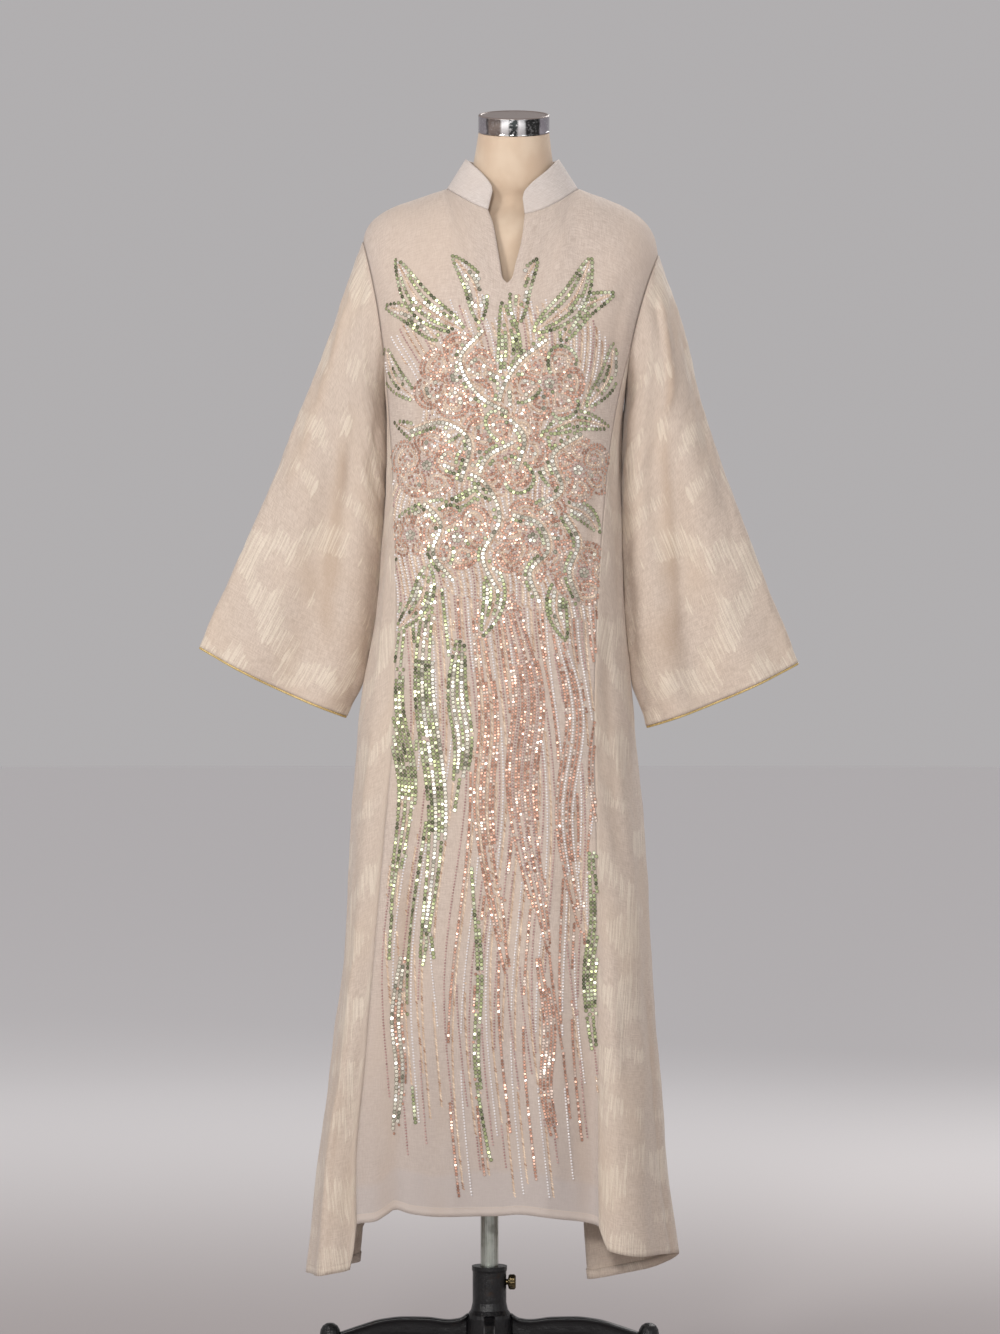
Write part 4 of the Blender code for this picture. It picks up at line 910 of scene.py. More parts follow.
# %% The gold edge of the cuffs
def rope(name, path, radius, strands, pitch, rings, sides):
    """A closed rope along a loop of points, with strands that wind round it."""
    loop = np.concatenate((path, path[:1]))
    along = run_of(loop)
    places = np.linspace(0, along[-1], rings, endpoint=False)
    centre = at_places(places, along, loop)
    ahead = unit(np.roll(centre, -1, axis=0) - np.roll(centre, 1, axis=0))
    side = unit(np.cross(ahead, (0.0, 0.0, 1.0)))
    up = np.cross(side, ahead)
    turn = np.linspace(0, 2 * pi, sides, endpoint=False)
    turns = round(along[-1] / pitch)
    wound = 2 * pi * turns * places[:, None] / along[-1]
    swell = 1 + STRAND_SWELL * np.cos(strands * turn[None, :] - wound)
    points = (centre[:, None] + radius * each(swell) * (side[:, None] * each(np.cos(turn))
                                                        + up[:, None] * each(np.sin(turn))))
    grid = np.concatenate((points, points[:1]))
    grid = np.concatenate((grid, grid[:, :1]), axis=1)
    return make_mesh(name, *welded(grid, 7)[:2])


EDGE_RADIUS, STRANDS, STRAND_PITCH, STRAND_SWELL = 0.0016, 3, 0.0026, 0.16
EDGE_OVERLAP = 0.7      # of its radius, from the cuff's last row to the rope's middle
for side in SHOULDERS:
    key = ("sleeve_" + side, side)
    points, normal = LAID[key][:2]
    ahead = unit(points[-1] - points[-4])
    path = points[-1] + ahead * (SEAM + EDGE_RADIUS * EDGE_OVERLAP) - normal[-1] * NORMAL_SIGN[key] * WALL / 2
    edge = rope("gold_edge_" + side, path[:-1], EDGE_RADIUS, STRANDS, STRAND_PITCH, rings=1100, sides=8)
    PIECES["cuff_edge_" + side] = edge
    print(edge.name, round(float(run_of(path)[-1]), 3), "m long")

# %% [markdown]
# ## The dress form and its cap
#
# The form is a padded body with knitted jersey pulled over it, and only its neck shows. We read its
# rings from the same few measures as the model and stay a hair inside it, so that nothing
# pokes through the cloth. The cap is a sheet of metal pressed over a turning block on a lathe, so one
# profile, spun round, makes it.

# %% The form's skin
POLE_X, LEAN, LEAN_FROM, FORM_DROP = -0.0135, 0.0206, 0.15, 0.005
FORM = table(
    "height half_width front back forward tilt power",
    (0.84, 0.135, 0.085, 0.088, 0, 0, 2.2), (0.856, 0.146, 0.094, 0.096, 0, 0, 2.2),
    (0.94, 0.15, 0.098, 0.1, 0, 0, 2.2), (1.02, 0.144, 0.094, 0.094, 0, 0, 2.2),
    (1.13, 0.116, 0.084, 0.078, 0, 0, 2.1), (1.23, 0.126, 0.094, 0.08, 0, 0, 2.1),
    (1.34, 0.141, 0.114, 0.084, 0, 0, 2.1), (1.4, 0.144, 0.112, 0.086, 0, 0, 2.1),
    (1.47, 0.152, 0.098, 0.086, 0, 0, 2.1), (1.54, 0.165, 0.084, 0.076, 0, 0, 2),
    (1.59, 0.171, 0.072, 0.065, 0, 0, 1.8), (1.622, 0.165, 0.064, 0.059, 0, 0, 1.5),
    (1.6355, 0.155, 0.058, 0.055, 0, 0, 1.35), (1.6458, 0.144, 0.055, 0.051, 0, 0.5, 1.3),
    (1.6531, 0.13, 0.054, 0.047, 0, 1, 1.3), (1.6602, 0.11, 0.0535, 0.045, 0.001, 2, 1.4),
    (1.6668, 0.0815, 0.0535, 0.045, 0.003, 3, 1.6), (1.6724, 0.0665, 0.0535, 0.047, 0.004, 4, 1.8),
    (1.685, 0.059, 0.053, 0.051, 0.006, 6, 2), (1.705, 0.0535, 0.0515, 0.05, 0.01, 10, 2),
    (1.7443, 0.0475, 0.0475, 0.0475, 0.019, 14, 2),
)
FORM_INSET = 0.0009
SHOULDER_LEVEL = 1.58      # its rows lie closer together from here up
CHEST_FILL = 0.02      # the padding behind the slit, where the cloth lies close


def form_points(angle, height):
    angle, height = np.broadcast_arrays(angle[None, :], height[:, None])
    size = measures(FORM, "height", height)
    inset = FORM_INSET * (1 - smooth((height - 1.672) / 0.01))
    across, turn = np.sin(angle), np.cos(angle)
    aside = np.sign(across) * (size["half_width"] - inset) * np.abs(across) ** (2 / size["power"])
    depth = np.where(turn > 0, size["front"], size["back"]) - inset
    y = -np.sign(turn) * depth * np.abs(turn) ** (2 / size["power"])
    slope = np.radians(size["tilt"])
    x = POLE_X + LEAN * (height - LEAN_FROM) + aside
    drop = FORM_DROP * aside * smooth((height - 1.0) / 0.5) * smooth((size["half_width"] - 0.06) / 0.04)
    chest = smooth((height - 1.44) / 0.06) * (1 - smooth((height - 1.6) / 0.05)) * (turn > 0)
    y = y - CHEST_FILL * chest * bell(aside / 0.05)
    return xyz(x, -size["forward"] + y * np.cos(slope), height - drop - inset + y * np.sin(slope))


def form_skin():
    angle = np.linspace(-pi, pi, 97)
    height = np.concatenate((np.linspace(0.841, SHOULDER_LEVEL, 60),
                             np.linspace(SHOULDER_LEVEL, FORM["height"][-1], 60)[1:]))
    points = form_points(angle, height)
    points[:, -1] = points[:, 0]
    foot, top = (np.broadcast_to(points[row].mean(axis=0), points[row].shape) for row in (0, -1))
    grid = np.concatenate((foot[None], points, top[None]))
    uvs = np.stack(cloth_places(grid, len(angle) // 2), -1).reshape(-1, 2)
    unique, faces, sources = welded(grid)
    PIECES["form_torso"] = make_mesh("form_jersey", unique, faces, uvs[sources], sharp=50)
    print(len(unique), "points on the form")


form_skin()


# %% Turned pieces
def turned(name, profile, segments):
    """A round piece from (height, radius) pairs, from the middle of its top round to that of its foot."""
    profile = np.array(profile)
    turn = np.linspace(0, 2 * pi, segments + 1)
    grid = xyz(profile[:, 1, None] * np.cos(turn), profile[:, 1, None] * np.sin(turn), profile[:, 0, None])
    grid[:, -1] = grid[:, 0]
    unique, faces, sources = welded(grid, 7)
    return make_mesh(name, unique, [face[::-1] for face in faces], sharp=35)


CAP = {"radius": 0.0479, "height": 0.024, "bevel": 0.002, "sunk": 0.0009, "tilt": math.radians(14)}
# the height and depth of the points of its foot: a groove and a small bevel
CAP_FOOT = ((0.0032, 0), (0.0026, 0.0004), (0.002, 0), (0.0008, 0), (0, 0.0008))


def cap():
    corner = np.linspace(0, pi / 2, 8)
    bevel, radius, height = CAP["bevel"], CAP["radius"], CAP["height"]
    lid = height - CAP["sunk"]
    rim = [(lid, 0.0), (lid, radius - 2.2 * bevel), (height, radius - 1.7 * bevel)]
    rim += [(height - bevel + bevel * math.cos(a), radius - bevel + bevel * math.sin(a)) for a in corner]
    rim += [(up, radius - inward) for up, inward in CAP_FOOT] + [(0.0, 0.0)]
    made = turned("chrome_cap", rim, 128)
    top = FORM["height"][-1]
    made.rotation_euler = (CAP["tilt"], 0, 0)
    lift = Vector((0, -math.sin(CAP["tilt"]), math.cos(CAP["tilt"]))) * SEAM
    made.location = Vector((POLE_X + LEAN * (top - LEAN_FROM), -FORM["forward"][-1], top)) + lift
    PIECES["form_neck_cap"] = made


cap()
print(len(PIECES), "pieces so far")

# %% [markdown]
# ## Shader maths that reads like maths
#
# Procedural finishes need many small sums. We wrap a socket in a class whose operators add the Math
# nodes, so that a mask is written as it is meant. All other nodes come from a single method, which takes
# the node's type, its settings and its inputs.


# %% Sockets as numbers
class Wire:
    """A socket that can be added, multiplied and compared."""

    def __init__(self, finish, socket):
        self.finish, self.socket = finish, socket

    def sum_with(self, operation, other, swapped=False):
        first, second = (other, self) if swapped else (self, other)
        return self.finish.add("ShaderNodeMath", {"operation": operation}, {0: first, 1: second})

    def __add__(self, other):
        return self.sum_with("ADD", other)

    def __sub__(self, other):
        return self.sum_with("SUBTRACT", other)

    def __mul__(self, other):
        return self.sum_with("MULTIPLY", other)

    def __rsub__(self, other):
        return self.sum_with("SUBTRACT", other, True)

    __radd__ = __add__
    __rmul__ = __mul__

    def sine(self):
        return self.sum_with("SINE", 0.0)


class Finish:
    """One material, built around its Principled shader."""

    def __init__(self, name, **constants):
        self.material = bpy.data.materials.new(name)
        self.material.use_nodes = True
        self.tree = self.material.node_tree
        self.shader = self.tree.nodes["Principled BSDF"]
        for socket, value in constants.items():
            self.shader.inputs[self.label(socket)].default_value = value

    @staticmethod
    def label(name):
        return name.replace("_", " ").title().replace("Ior", "IOR")

    def put(self, socket, value):
        if isinstance(value, Wire):
            self.tree.links.new(value.socket, socket)
        else:
            socket.default_value = value

    def add(self, kind, settings, inputs, output=0):
        node = self.tree.nodes.new(kind)
        for name, value in settings.items():
            setattr(node, name, value)
        for name, value in inputs.items():
            self.put(node.inputs[name], value)
        return Wire(self, node.outputs[output])

    def cloth(self):
        """u and v of the cloth in metres."""
        places = self.add("ShaderNodeUVMap", {"uv_map": "cloth"}, {})
        return (self.add("ShaderNodeSeparateXYZ", {}, {0: places}, axis) for axis in ("X", "Y"))

    def solid(self):
        """The object's own x, y and z in metres."""
        return self.add("ShaderNodeTexCoord", {}, {}, "Object")

    def grain(self, place, scale, detail=2.0, rough=0.5):
        return self.add("ShaderNodeTexNoise", {}, {"Vector": place, "Scale": scale, "Detail": detail,
                                                   "Roughness": rough})

    def noise(self, u, v, *looks):
        """Grain on the cloth, stretched by what u and v are multiplied with."""
        return self.grain(self.add("ShaderNodeCombineXYZ", {}, {0: u, 1: v}), 1.0, *looks)

    def spots(self, *looks):
        return self.grain(self.solid(), *looks)

    def between(self, value, low, high):
        """0 below low and 1 above high, with a soft step."""
        return self.add("ShaderNodeMapRange", {"interpolation_type": "SMOOTHSTEP"},
                        {"Value": value, "From Min": low, "From Max": high})

    def mix(self, share, first, second):
        first, second = ((*one, 1.0) if isinstance(one, tuple) else one for one in (first, second))
        return self.add("ShaderNodeMix", {"data_type": "RGBA"}, {0: share, 6: first, 7: second}, 2)

    def stops(self, value, rows):
        """A ramp of colours with its stops at the given places."""
        made = self.add("ShaderNodeValToRGB", {}, {0: value})
        ramp = made.socket.node.color_ramp
        for place, colour in rows[1:-1]:
            ramp.elements.new(place)
        for element, (place, colour) in zip(ramp.elements, rows):
            element.position = place
            element.color = (*colour, 1.0)
        return made

    def mark(self, name):
        return self.add("ShaderNodeAttribute", {"attribute_name": name}, {}, "Fac")

    def bump(self, height, distance, strength=1.0):
        made = self.add("ShaderNodeBump", {}, {"Height": height, "Distance": distance, "Strength": strength})
        self.put(self.shader.inputs["Normal"], made)

    def set(self, **values):
        for name, value in values.items():
            self.put(self.shader.inputs[self.label(name)], value)
        return self.material


FINISHES = {}

# %% [markdown]
# ## Plain slub cloth
#
# The front, the collar and the facing are a light plain weave. Its threads are uneven: thick stretches, or
# slubs, run both ways and give it a heathered look. Towards the hem it is a little sheerer, and its colour is
# painted darker and cooler there, and bluish grey over the unlined band above the hem: painted shade, and
# painted light seen through the thin cloth. Two stretched noises make the slubs, one for each direction,
# and a fine sine grid makes the weave.

# %% The plain cloth
THREAD = 2 * pi / 0.0011      # turns for a metre of threads 1.1 mm apart


def weave(u, v):
    return (u * THREAD).sine() * (v * THREAD).sine()


def plain_cloth(name, tones):
    finish = Finish(name, sheen_weight=0.22, sheen_roughness=0.5, specular_ior_level=0.25)
    u, v = finish.cloth()
    down_slubs = finish.noise(u * 640, v * 95)
    across_slubs = finish.noise(u * 85, v * 660)
    fine = finish.noise(u * 800, v * 800)
    cloud = finish.noise(u * 7, v * 5)
    thread = down_slubs * 0.35 + across_slubs * 0.35 + fine * 0.3
    colour = finish.mix(finish.between(thread, 0.36, 0.64), tones["shade"], tones["light"])
    colour = finish.mix(finish.between(cloud, 0.35, 0.7) * 0.5, colour, tones["warm"])
    # painted shade and see-through light: darker and cooler towards the hem
    colour = finish.mix(finish.between(v, 0.85, 1.42) * 0.6, colour, tones["low"])
    turned = finish.between(v, PANEL_LENGTH - 0.0128, PANEL_LENGTH - 0.0122)
    # painted see-through light: a bluish grey over the unlined band above the hem
    unlined = finish.between(v + (cloud - 0.5) * 0.07, PANEL_LENGTH - 0.06, PANEL_LENGTH - 0.048)
    colour = finish.mix(unlined * 0.27, colour, tones["painted_see_through"])
    colour = finish.mix(turned * 0.45, colour, tones["light"])
    # painted shade: the cloth turns tan in its fold troughs
    colour = finish.mix(finish.mark("fold") * 0.5, colour, PAINTED_FOLD_SHADE)
    rough = 0.78 + thread * 0.14
    finish.bump(weave(u, v) * 0.5 + thread * 1.6 + turned * 1.2, 0.00035, 0.55)
    return finish.set(base_color=colour, roughness=rough)


# the tan of the painted shade in the cloth's fold troughs
PAINTED_FOLD_SHADE = (0.46, 0.335, 0.24)
# the low tone and the see-through tone are painted shade and painted see-through light near the hem
PLAIN = {"shade": (0.52, 0.42, 0.355), "light": (0.68, 0.58, 0.505), "warm": (0.65, 0.52, 0.42),
         "low": (0.465, 0.405, 0.375), "painted_see_through": (0.5, 0.475, 0.485)}
PALE = {"shade": (0.57, 0.5, 0.455), "light": (0.72, 0.655, 0.615), "warm": (0.68, 0.59, 0.53),
        "low": (0.57, 0.52, 0.49), "painted_see_through": (0.6, 0.57, 0.58)}
FINISHES["plain_cloth"] = plain_cloth("plain_slub_cloth", PLAIN)
FINISHES["pale_cloth"] = plain_cloth("pale_slub_cloth", PALE)
print("finishes so far:", *FINISHES)

# %% [markdown]
# ## Figured cloth
#
# The back, the sides and the sleeves are woven with loose brush strokes: blocks of fine, lighter threads
# that run with the grain and fray out at their ends. A long thin noise makes the threads, a slower one
# says where the blocks lie, and only threads inside a block come to the surface, where they shine.


# %% The figured cloth
def figured_cloth():
    finish = Finish("figured_cloth", sheen_weight=0.25, sheen_roughness=0.4, specular_ior_level=0.35)
    u, v = finish.cloth()
    lean = u + v * 0.16
    threads = finish.noise(lean * 420, v * 9, 2, 0.6)
    blocks = finish.noise(lean * 14, v * 18, 1, 0.4)
    ends = finish.noise(lean * 230, v * 16)
    block = finish.between(blocks + (ends - 0.5) * 0.36, 0.53, 0.575)
    stroke = block * (0.15 + finish.between(threads, 0.44, 0.56) * 0.85)
    # painted highlight: glint specks mixed towards a pale gold, most inside the strokes
    glints = finish.between(finish.noise(u * 1400, v * 1400, 1), 0.62, 0.7)
    slubs = finish.noise(u * 700, v * 110)
    across_slubs = finish.noise(u * 90, v * 700)
    cloud = finish.noise(u * 8, v * 5)
    thread = slubs * 0.55 + across_slubs * 0.45
    colour = finish.mix(finish.between(thread, 0.34, 0.66), FIGURED["shade"], FIGURED["light"])
    colour = finish.mix(finish.between(cloud, 0.4, 0.7) * 0.45, colour, FIGURED["warm"])
    # painted shade: the cloth turns tan in its fold troughs
    colour = finish.mix(finish.mark("fold") * 0.55, colour, PAINTED_FOLD_SHADE)
    colour = finish.mix(stroke * 0.42, colour, FIGURED["stroke"])
    colour = finish.mix(glints * (0.2 + stroke * 0.6), colour, FIGURED["glint"])
    rough = 0.78 - stroke * 0.24
    finish.bump(weave(u, v) * 0.4 + thread * 1.4 + stroke * 1.8, 0.0003, 0.55)
    return finish.set(base_color=colour, roughness=rough)


FIGURED = {"shade": (0.525, 0.425, 0.35), "light": (0.66, 0.555, 0.47), "warm": (0.64, 0.505, 0.385),
           "stroke": (0.85, 0.76, 0.62), "glint": (1.0, 0.93, 0.78)}
FINISHES["jacquard"] = figured_cloth()
print("finishes so far:", *FINISHES)


# %% Gold thread and knitted jersey
def gold_thread():
    finish = Finish("gold_thread", metallic=0.35, roughness=0.42, specular_ior_level=0.6)
    tone = finish.spots(900)
    colour = finish.mix(finish.between(tone, 0.35, 0.65), (0.5, 0.34, 0.11), (0.8, 0.62, 0.28))
    finish.bump(finish.spots(2600), 0.0001, 0.5)
    return finish.set(base_color=colour)


def jersey():
    """Fine knit ribs run up the form, with rows of loops across them."""
    finish = Finish("jersey", roughness=0.86, sheen_weight=0.3, sheen_roughness=0.45, specular_ior_level=0.2)
    u, v = finish.cloth()
    ribs = (u * (2 * pi / 0.0014)).sine()
    loops = (v * (2 * pi / 0.001)).sine()
    cloud = finish.noise(u * 18, v * 12, 3)
    fluff = finish.noise(u * 900, v * 900)
    colour = finish.mix(finish.between(cloud, 0.35, 0.68), JERSEY["deep"], JERSEY["light"])
    colour = finish.mix(fluff * 0.3, colour, JERSEY["fluff"])
    finish.bump(ribs * 0.5 + loops * 0.3 + fluff * 0.8, 0.00028, 0.5)
    return finish.set(base_color=colour)


JERSEY = {"deep": (0.59, 0.43, 0.3), "light": (0.69, 0.545, 0.405), "fluff": (0.76, 0.65, 0.53)}
FINISHES["gold_edge"] = gold_thread()
FINISHES["jersey"] = jersey()
print("finishes so far:", *FINISHES)

# %% [markdown]
# ## Metals of the stand
#
# The cap is chromed sheet with a rippled face. Smoky, near white and near black bands round its side
# are painted reflections, and its lid is a duller brown grey. The pole is drawn aluminium, dulled and
# scratched along its length. The base is cast iron under black lacquer: grainy like sand, worn to brown
# where hands and shoes meet it. The screw is old brass, and the boss that the form sits on is wood.


# %% Metals and wood
# painted reflections: smoky, near white and near black bands round the cap's side
CAP_PAINTED_REFLECTIONS = ((0.00, (0.36, 0.33, 0.36)), (0.1, (0.4, 0.37, 0.4)), (0.125, (0.1, 0.09, 0.09)),
             (0.16, (0.3, 0.24, 0.21)), (0.3, (0.24, 0.2, 0.18)), (0.33, (1.0, 1.0, 1.0)),
             (0.42, (0.95, 0.96, 0.96)), (0.445, (0.05, 0.06, 0.06)), (0.545, (0.07, 0.08, 0.08)),
             (0.565, (1.0, 1.0, 1.0)), (0.64, (0.8, 0.82, 0.82)), (0.675, (0.04, 0.04, 0.04)),
             (0.85, (0.03, 0.03, 0.03)), (0.875, (0.42, 0.39, 0.43)), (1.00, (0.36, 0.34, 0.38)))


def chrome():
    finish = Finish("chrome")
    ripple = finish.spots(38, 2, 0.55)
    specks = finish.between(finish.spots(300, 3, 0.7), 0.53, 0.6)
    aside = finish.add("ShaderNodeSeparateXYZ", {}, {0: finish.solid()}, "X")
    upward = finish.add("ShaderNodeSeparateXYZ", {}, {0: finish.solid()}, "Z")
    shaken = aside * (1 / CAP["radius"]) + (finish.spots(90, 3) - 0.5) * 0.1
    # painted reflection: the bands follow the cap's own x
    band = finish.stops(shaken * 0.5 + 0.5, CAP_PAINTED_REFLECTIONS)
    blotch = finish.between(shaken, -0.2, -0.12) * finish.between(shaken, 0.16, 0.08)
    colour = finish.mix(specks * (0.25 + blotch * 0.65), band, (0.75, 0.76, 0.76))
    lid = finish.between(upward, CAP["height"] - 0.0019, CAP["height"] - 0.0012)
    colour = finish.mix(lid, colour, (0.235, 0.19, 0.175))
    finish.bump(ripple * 1.0 + specks * 0.05, 0.0009, 0.3)
    return finish.set(base_color=colour, roughness=0.13 + lid * 0.32, metallic=0.92 - lid * 0.55)


def aluminium():
    finish = Finish("aluminium", metallic=0.85)
    place = finish.add("ShaderNodeMapping", {}, {"Vector": finish.solid(), "Scale": (900, 900, 18)})
    streaks = finish.grain(place, 1.0, 3.0)
    stains = finish.between(finish.spots(60, 3, 0.6), 0.45, 0.75)
    colour = finish.mix(finish.between(streaks, 0.3, 0.7), (0.4, 0.43, 0.38), (0.62, 0.65, 0.6))
    colour = finish.mix(stains * 0.5, colour, (0.27, 0.28, 0.24))
    finish.bump(streaks, 0.0002, 0.4)
    return finish.set(base_color=colour, roughness=0.34 + stains * 0.22)


def cast_iron():
    finish = Finish("cast_iron", specular_ior_level=0.42)
    grain = finish.spots(700, 3, 0.65)
    lumps = finish.spots(55, 3, 0.55)
    worn = finish.between(finish.spots(26, 4, 0.65), 0.6, 0.72)
    colour = finish.mix(finish.between(grain, 0.4, 0.75) * 0.5, (0.004, 0.004, 0.005), (0.02, 0.019, 0.018))
    colour = finish.mix(worn * 0.5, colour, (0.055, 0.032, 0.02))
    finish.bump(grain * 0.6 + lumps * 2.4, 0.0009, 0.7)
    return finish.set(base_color=colour, roughness=0.26 + worn * 0.25 + grain * 0.14,
                      metallic=worn * 0.4)


def brass():
    finish = Finish("brass", metallic=1.0)
    tarnish = finish.between(finish.spots(240, 4, 0.65), 0.42, 0.68)
    colour = finish.mix(tarnish, (0.17, 0.13, 0.065), (0.05, 0.042, 0.028))
    finish.bump(finish.spots(900), 0.0002, 0.4)
    return finish.set(base_color=colour, roughness=0.28 + tarnish * 0.3)


def wood():
    finish = Finish("wood", specular_ior_level=0.35)
    rings = finish.add("ShaderNodeTexWave", {"wave_type": "RINGS", "rings_direction": "X"},
                       {"Vector": finish.solid(), "Scale": 60.0, "Distortion": 5.0, "Detail": 3.0})
    colour = finish.mix(rings, (0.3, 0.19, 0.1), (0.5, 0.35, 0.21))
    finish.bump(rings, 0.0003, 0.4)
    return finish.set(base_color=colour, roughness=0.6 + rings * 0.15)


for make in (chrome, aluminium, cast_iron, brass, wood):
    FINISHES[make.__name__] = make()
print("all finishes:", *FINISHES)

# %% [markdown]
# ## Sequins, beads and bugles
#
# The front is worked by hand with cupped sequins, seed beads and slanting glass bugles, each sewn on by
# its own stitches. We make one small template of each and repeat it along lines that are drawn on the
# cloth. A ray finds the cloth under each place, so that the work follows every fold, and each
# sequin tilts a little its own way, which is what makes a row of them glitter. Besides, each sequin has a
# painted shade round its rim, and some are painted deep as painted shade and some pale as a painted flash.
# The design is our own: a bough of round blossoms, lance-shaped leaves and tendrils, with catkins and
# long threads below.

# %% One sequin, one bead, one bugle
DICE = np.random.default_rng(71)


def rings_of(sides, profile, point=None):
    """Rings of (radius, height), joined by quads, and closed with a point if one is given."""
    turn = np.linspace(0, 2 * pi, sides, endpoint=False)
    points = [(r * math.cos(a), r * math.sin(a), z) for r, z in profile for a in turn]
    faces = []
    for row in range(len(profile) - 1):
        for i in range(sides):
            j = (i + 1) % sides
            faces.append([row * sides + i, row * sides + j, (row + 1) * sides + j, (row + 1) * sides + i])
    if point is not None:
        points.append((0.0, 0.0, point))
        last = (len(profile) - 1) * sides
        faces += [[last + i, last + (i + 1) % sides, len(points) - 1] for i in range(sides)]
    return np.array(points), faces


def cup(sides):
    """A sequin of radius 1: a hole, a flat middle and a raised rim."""
    points, faces = rings_of(sides, [(0.18, 0.01), (0.78, 0.0), (1.0, 0.13)])
    return points, [face[::-1] for face in faces]


def bugle():
    """Half of a six-sided tube of length 1 along x, with its two ends."""
    turn = np.linspace(0, pi, 4)
    points = [(end, 0.5 * math.cos(a), 0.5 * math.sin(a)) for end in (-0.5, 0.5) for a in turn]
    faces = [[i, i + 1, i + 5, i + 4][::-1] for i in range(3)] + [[0, 1, 2, 3][::-1], [4, 5, 6, 7]]
    return np.array(points), faces


TEMPLATES = {"sequin": cup(8), "small_sequin": cup(6), "bugle": bugle(),
             "bead": rings_of(5, [(1.0, 0.0), (0.86, 0.9)], 1.35)}
BUGLE = np.array((0.0044, 0.0018, 0.0018))      # its length and its thickness both ways
# kind: template, its scale, pitch along the line, room it needs, tilt in degrees
STITCHES = {
    "green_sequins": ("sequin", 0.00265, 0.0051, 0.0022, 10),
    "clear_sequins": ("sequin", 0.0029, 0.0054, 0.0023, 8),
    "copper_sequins": ("small_sequin", 0.00215, 0.0041, 0.0018, 12),
    "pearl_beads": ("bead", 0.0015, 0.004, 0.0013, 0),
    "rose_beads": ("bead", 0.00145, 0.0039, 0.0013, 0),
    "glass_bugles": ("bugle", BUGLE, 0.0034, 0.0013, 4),
}
GREEN, CLEAR, COPPER, PEARL, ROSE, BUGLES = STITCHES
SLANT = math.radians(38)
HANG = math.radians(3)      # sequins hang from their stitch and so look a little upwards
print({name: len(faces) for name, (points, faces) in TEMPLATES.items()}, "faces")


# %% A place for every stitch
WORKED = {"half_width": 0.156, "lowest": 0.318, "slit_foot": 1.518, "slit_x": 0.004, "slit_room": 0.03}
front_shell = PIECES["front_panel"].data
CLOTH_FRONT = BVHTree.FromPolygons([v.co for v in front_shell.vertices],
                                   [tuple(p.vertices) for p in front_shell.polygons])
print(len(front_shell.polygons), "faces to sew on")
CELL = 0.004
taken = {}
sewn = {kind: [] for kind in STITCHES}


def is_free(x, z, room):
    column, row = int(x // CELL), int(z // CELL)
    for i in (column - 1, column, column + 1):
        for j in (row - 1, row, row + 1):
            for other_x, other_z, other_room in taken.get((i, j), ()):
                reach = room + other_room
                if (x - other_x) ** 2 + (z - other_z) ** 2 < reach * reach:
                    return False
    return True


def in_bounds(x, z):
    at_slit = z > WORKED["slit_foot"] and abs(x - WORKED["slit_x"]) < WORKED["slit_room"]
    return abs(x) < WORKED["half_width"] and z > WORKED["lowest"] and not at_slit


def sew(kind, path, gaps=0.0):
    """Sew one line of a kind along a path of (x, z), where nothing else is sewn yet."""
    pitch, room = STITCHES[kind][2:4]
    along = run_of(path)
    if along[-1] < pitch:
        return
    places = np.arange(pitch * 0.3, along[-1], pitch)
    where = at_places(places, along, path)
    ahead = at_places(places + pitch / 2, along, path) - at_places(places - pitch / 2, along, path)
    dropped = DICE.random(len(places)) < gaps
    for (x, z), (dx, dz), skip in zip(where.tolist(), ahead.tolist(), dropped):
        if skip or not in_bounds(x, z) or not is_free(x, z, room):
            continue
        taken.setdefault((int(x // CELL), int(z // CELL)), []).append((x, z, room))
        sewn[kind].append((x, z, dx, dz))


# %% Lines, leaves, blossoms and catkins
def flow(*points):
    """A smooth path in metres through points in millimetres."""
    points = mm(points)
    padded = np.concatenate((2 * points[:1] - points[1:2], points, 2 * points[-1:] - points[-2:-1]))
    t = np.linspace(0, 1, 24, endpoint=False)[:, None]
    parts = []
    for a, b, c, d in zip(padded, padded[1:], padded[2:], padded[3:]):
        parts.append(0.5 * (2 * b + (c - a) * t + (2 * a - 5 * b + 4 * c - d) * t ** 2
                            + (3 * b - a - 3 * c + d) * t ** 3))
    return np.concatenate(parts + [points[-1:]])


def beside(path, offsets):
    """The path moved sideways, by one offset or by one for each of its points."""
    ahead = unit(np.gradient(path, axis=0))
    return path + np.stack((-ahead[:, 1], ahead[:, 0]), -1) * each(offsets)


LEAF_ROW, CLEAR_SHARE = 0.0048, 0.35


def leaf(base, tip, width, bend):
    """Two green edges, a vein of bugles and rows of sequins and pearls between them."""
    base, tip = np.array(base), np.array(tip)
    span = tip - base
    middle = (base + tip) / 2 + np.array((-span[1], span[0])) * bend
    spine = flow(base, middle, tip)
    share = np.linspace(0, 1, len(spine))
    width = mm(width)
    swell = width * np.sin(pi * share ** 0.85) ** 0.75
    for side in (1, -1):
        sew(GREEN, beside(spine, side * swell))
    sew(BUGLES, spine)
    rows = max(2, round(width / LEAF_ROW))
    for row in range(rows - 1, 0, -1):
        kind = CLEAR if DICE.random() < CLEAR_SHARE else GREEN
        for side in (1, -1):
            sew(kind, beside(spine, side * swell * row / rows), 0.03)
    for row in range(rows):
        for side in (1, -1):
            sew(PEARL, beside(spine, side * swell * (row + 0.5) / rows), 0.1)


def petal_path(centre, angle, start, length, width):
    """A drop-shaped loop that points away from the centre."""
    t = np.linspace(0, 2 * pi, 60)
    out = start + length * (1 - np.cos(t)) / 2
    aside = width * np.sin(t) * (0.55 + 0.45 * (1 - np.cos(t)) / 2)
    turned_x = np.cos(angle) * out - np.sin(angle) * aside
    turned_z = np.sin(angle) * out + np.cos(angle) * aside
    return np.stack((centre[0] + turned_x, centre[1] + turned_z), -1)


HEART = ((CLEAR, 0.0045), (ROSE, 0.0085))
PETAL_FILL = (COPPER, COPPER, BUGLES, CLEAR, COPPER, COPPER, ROSE)


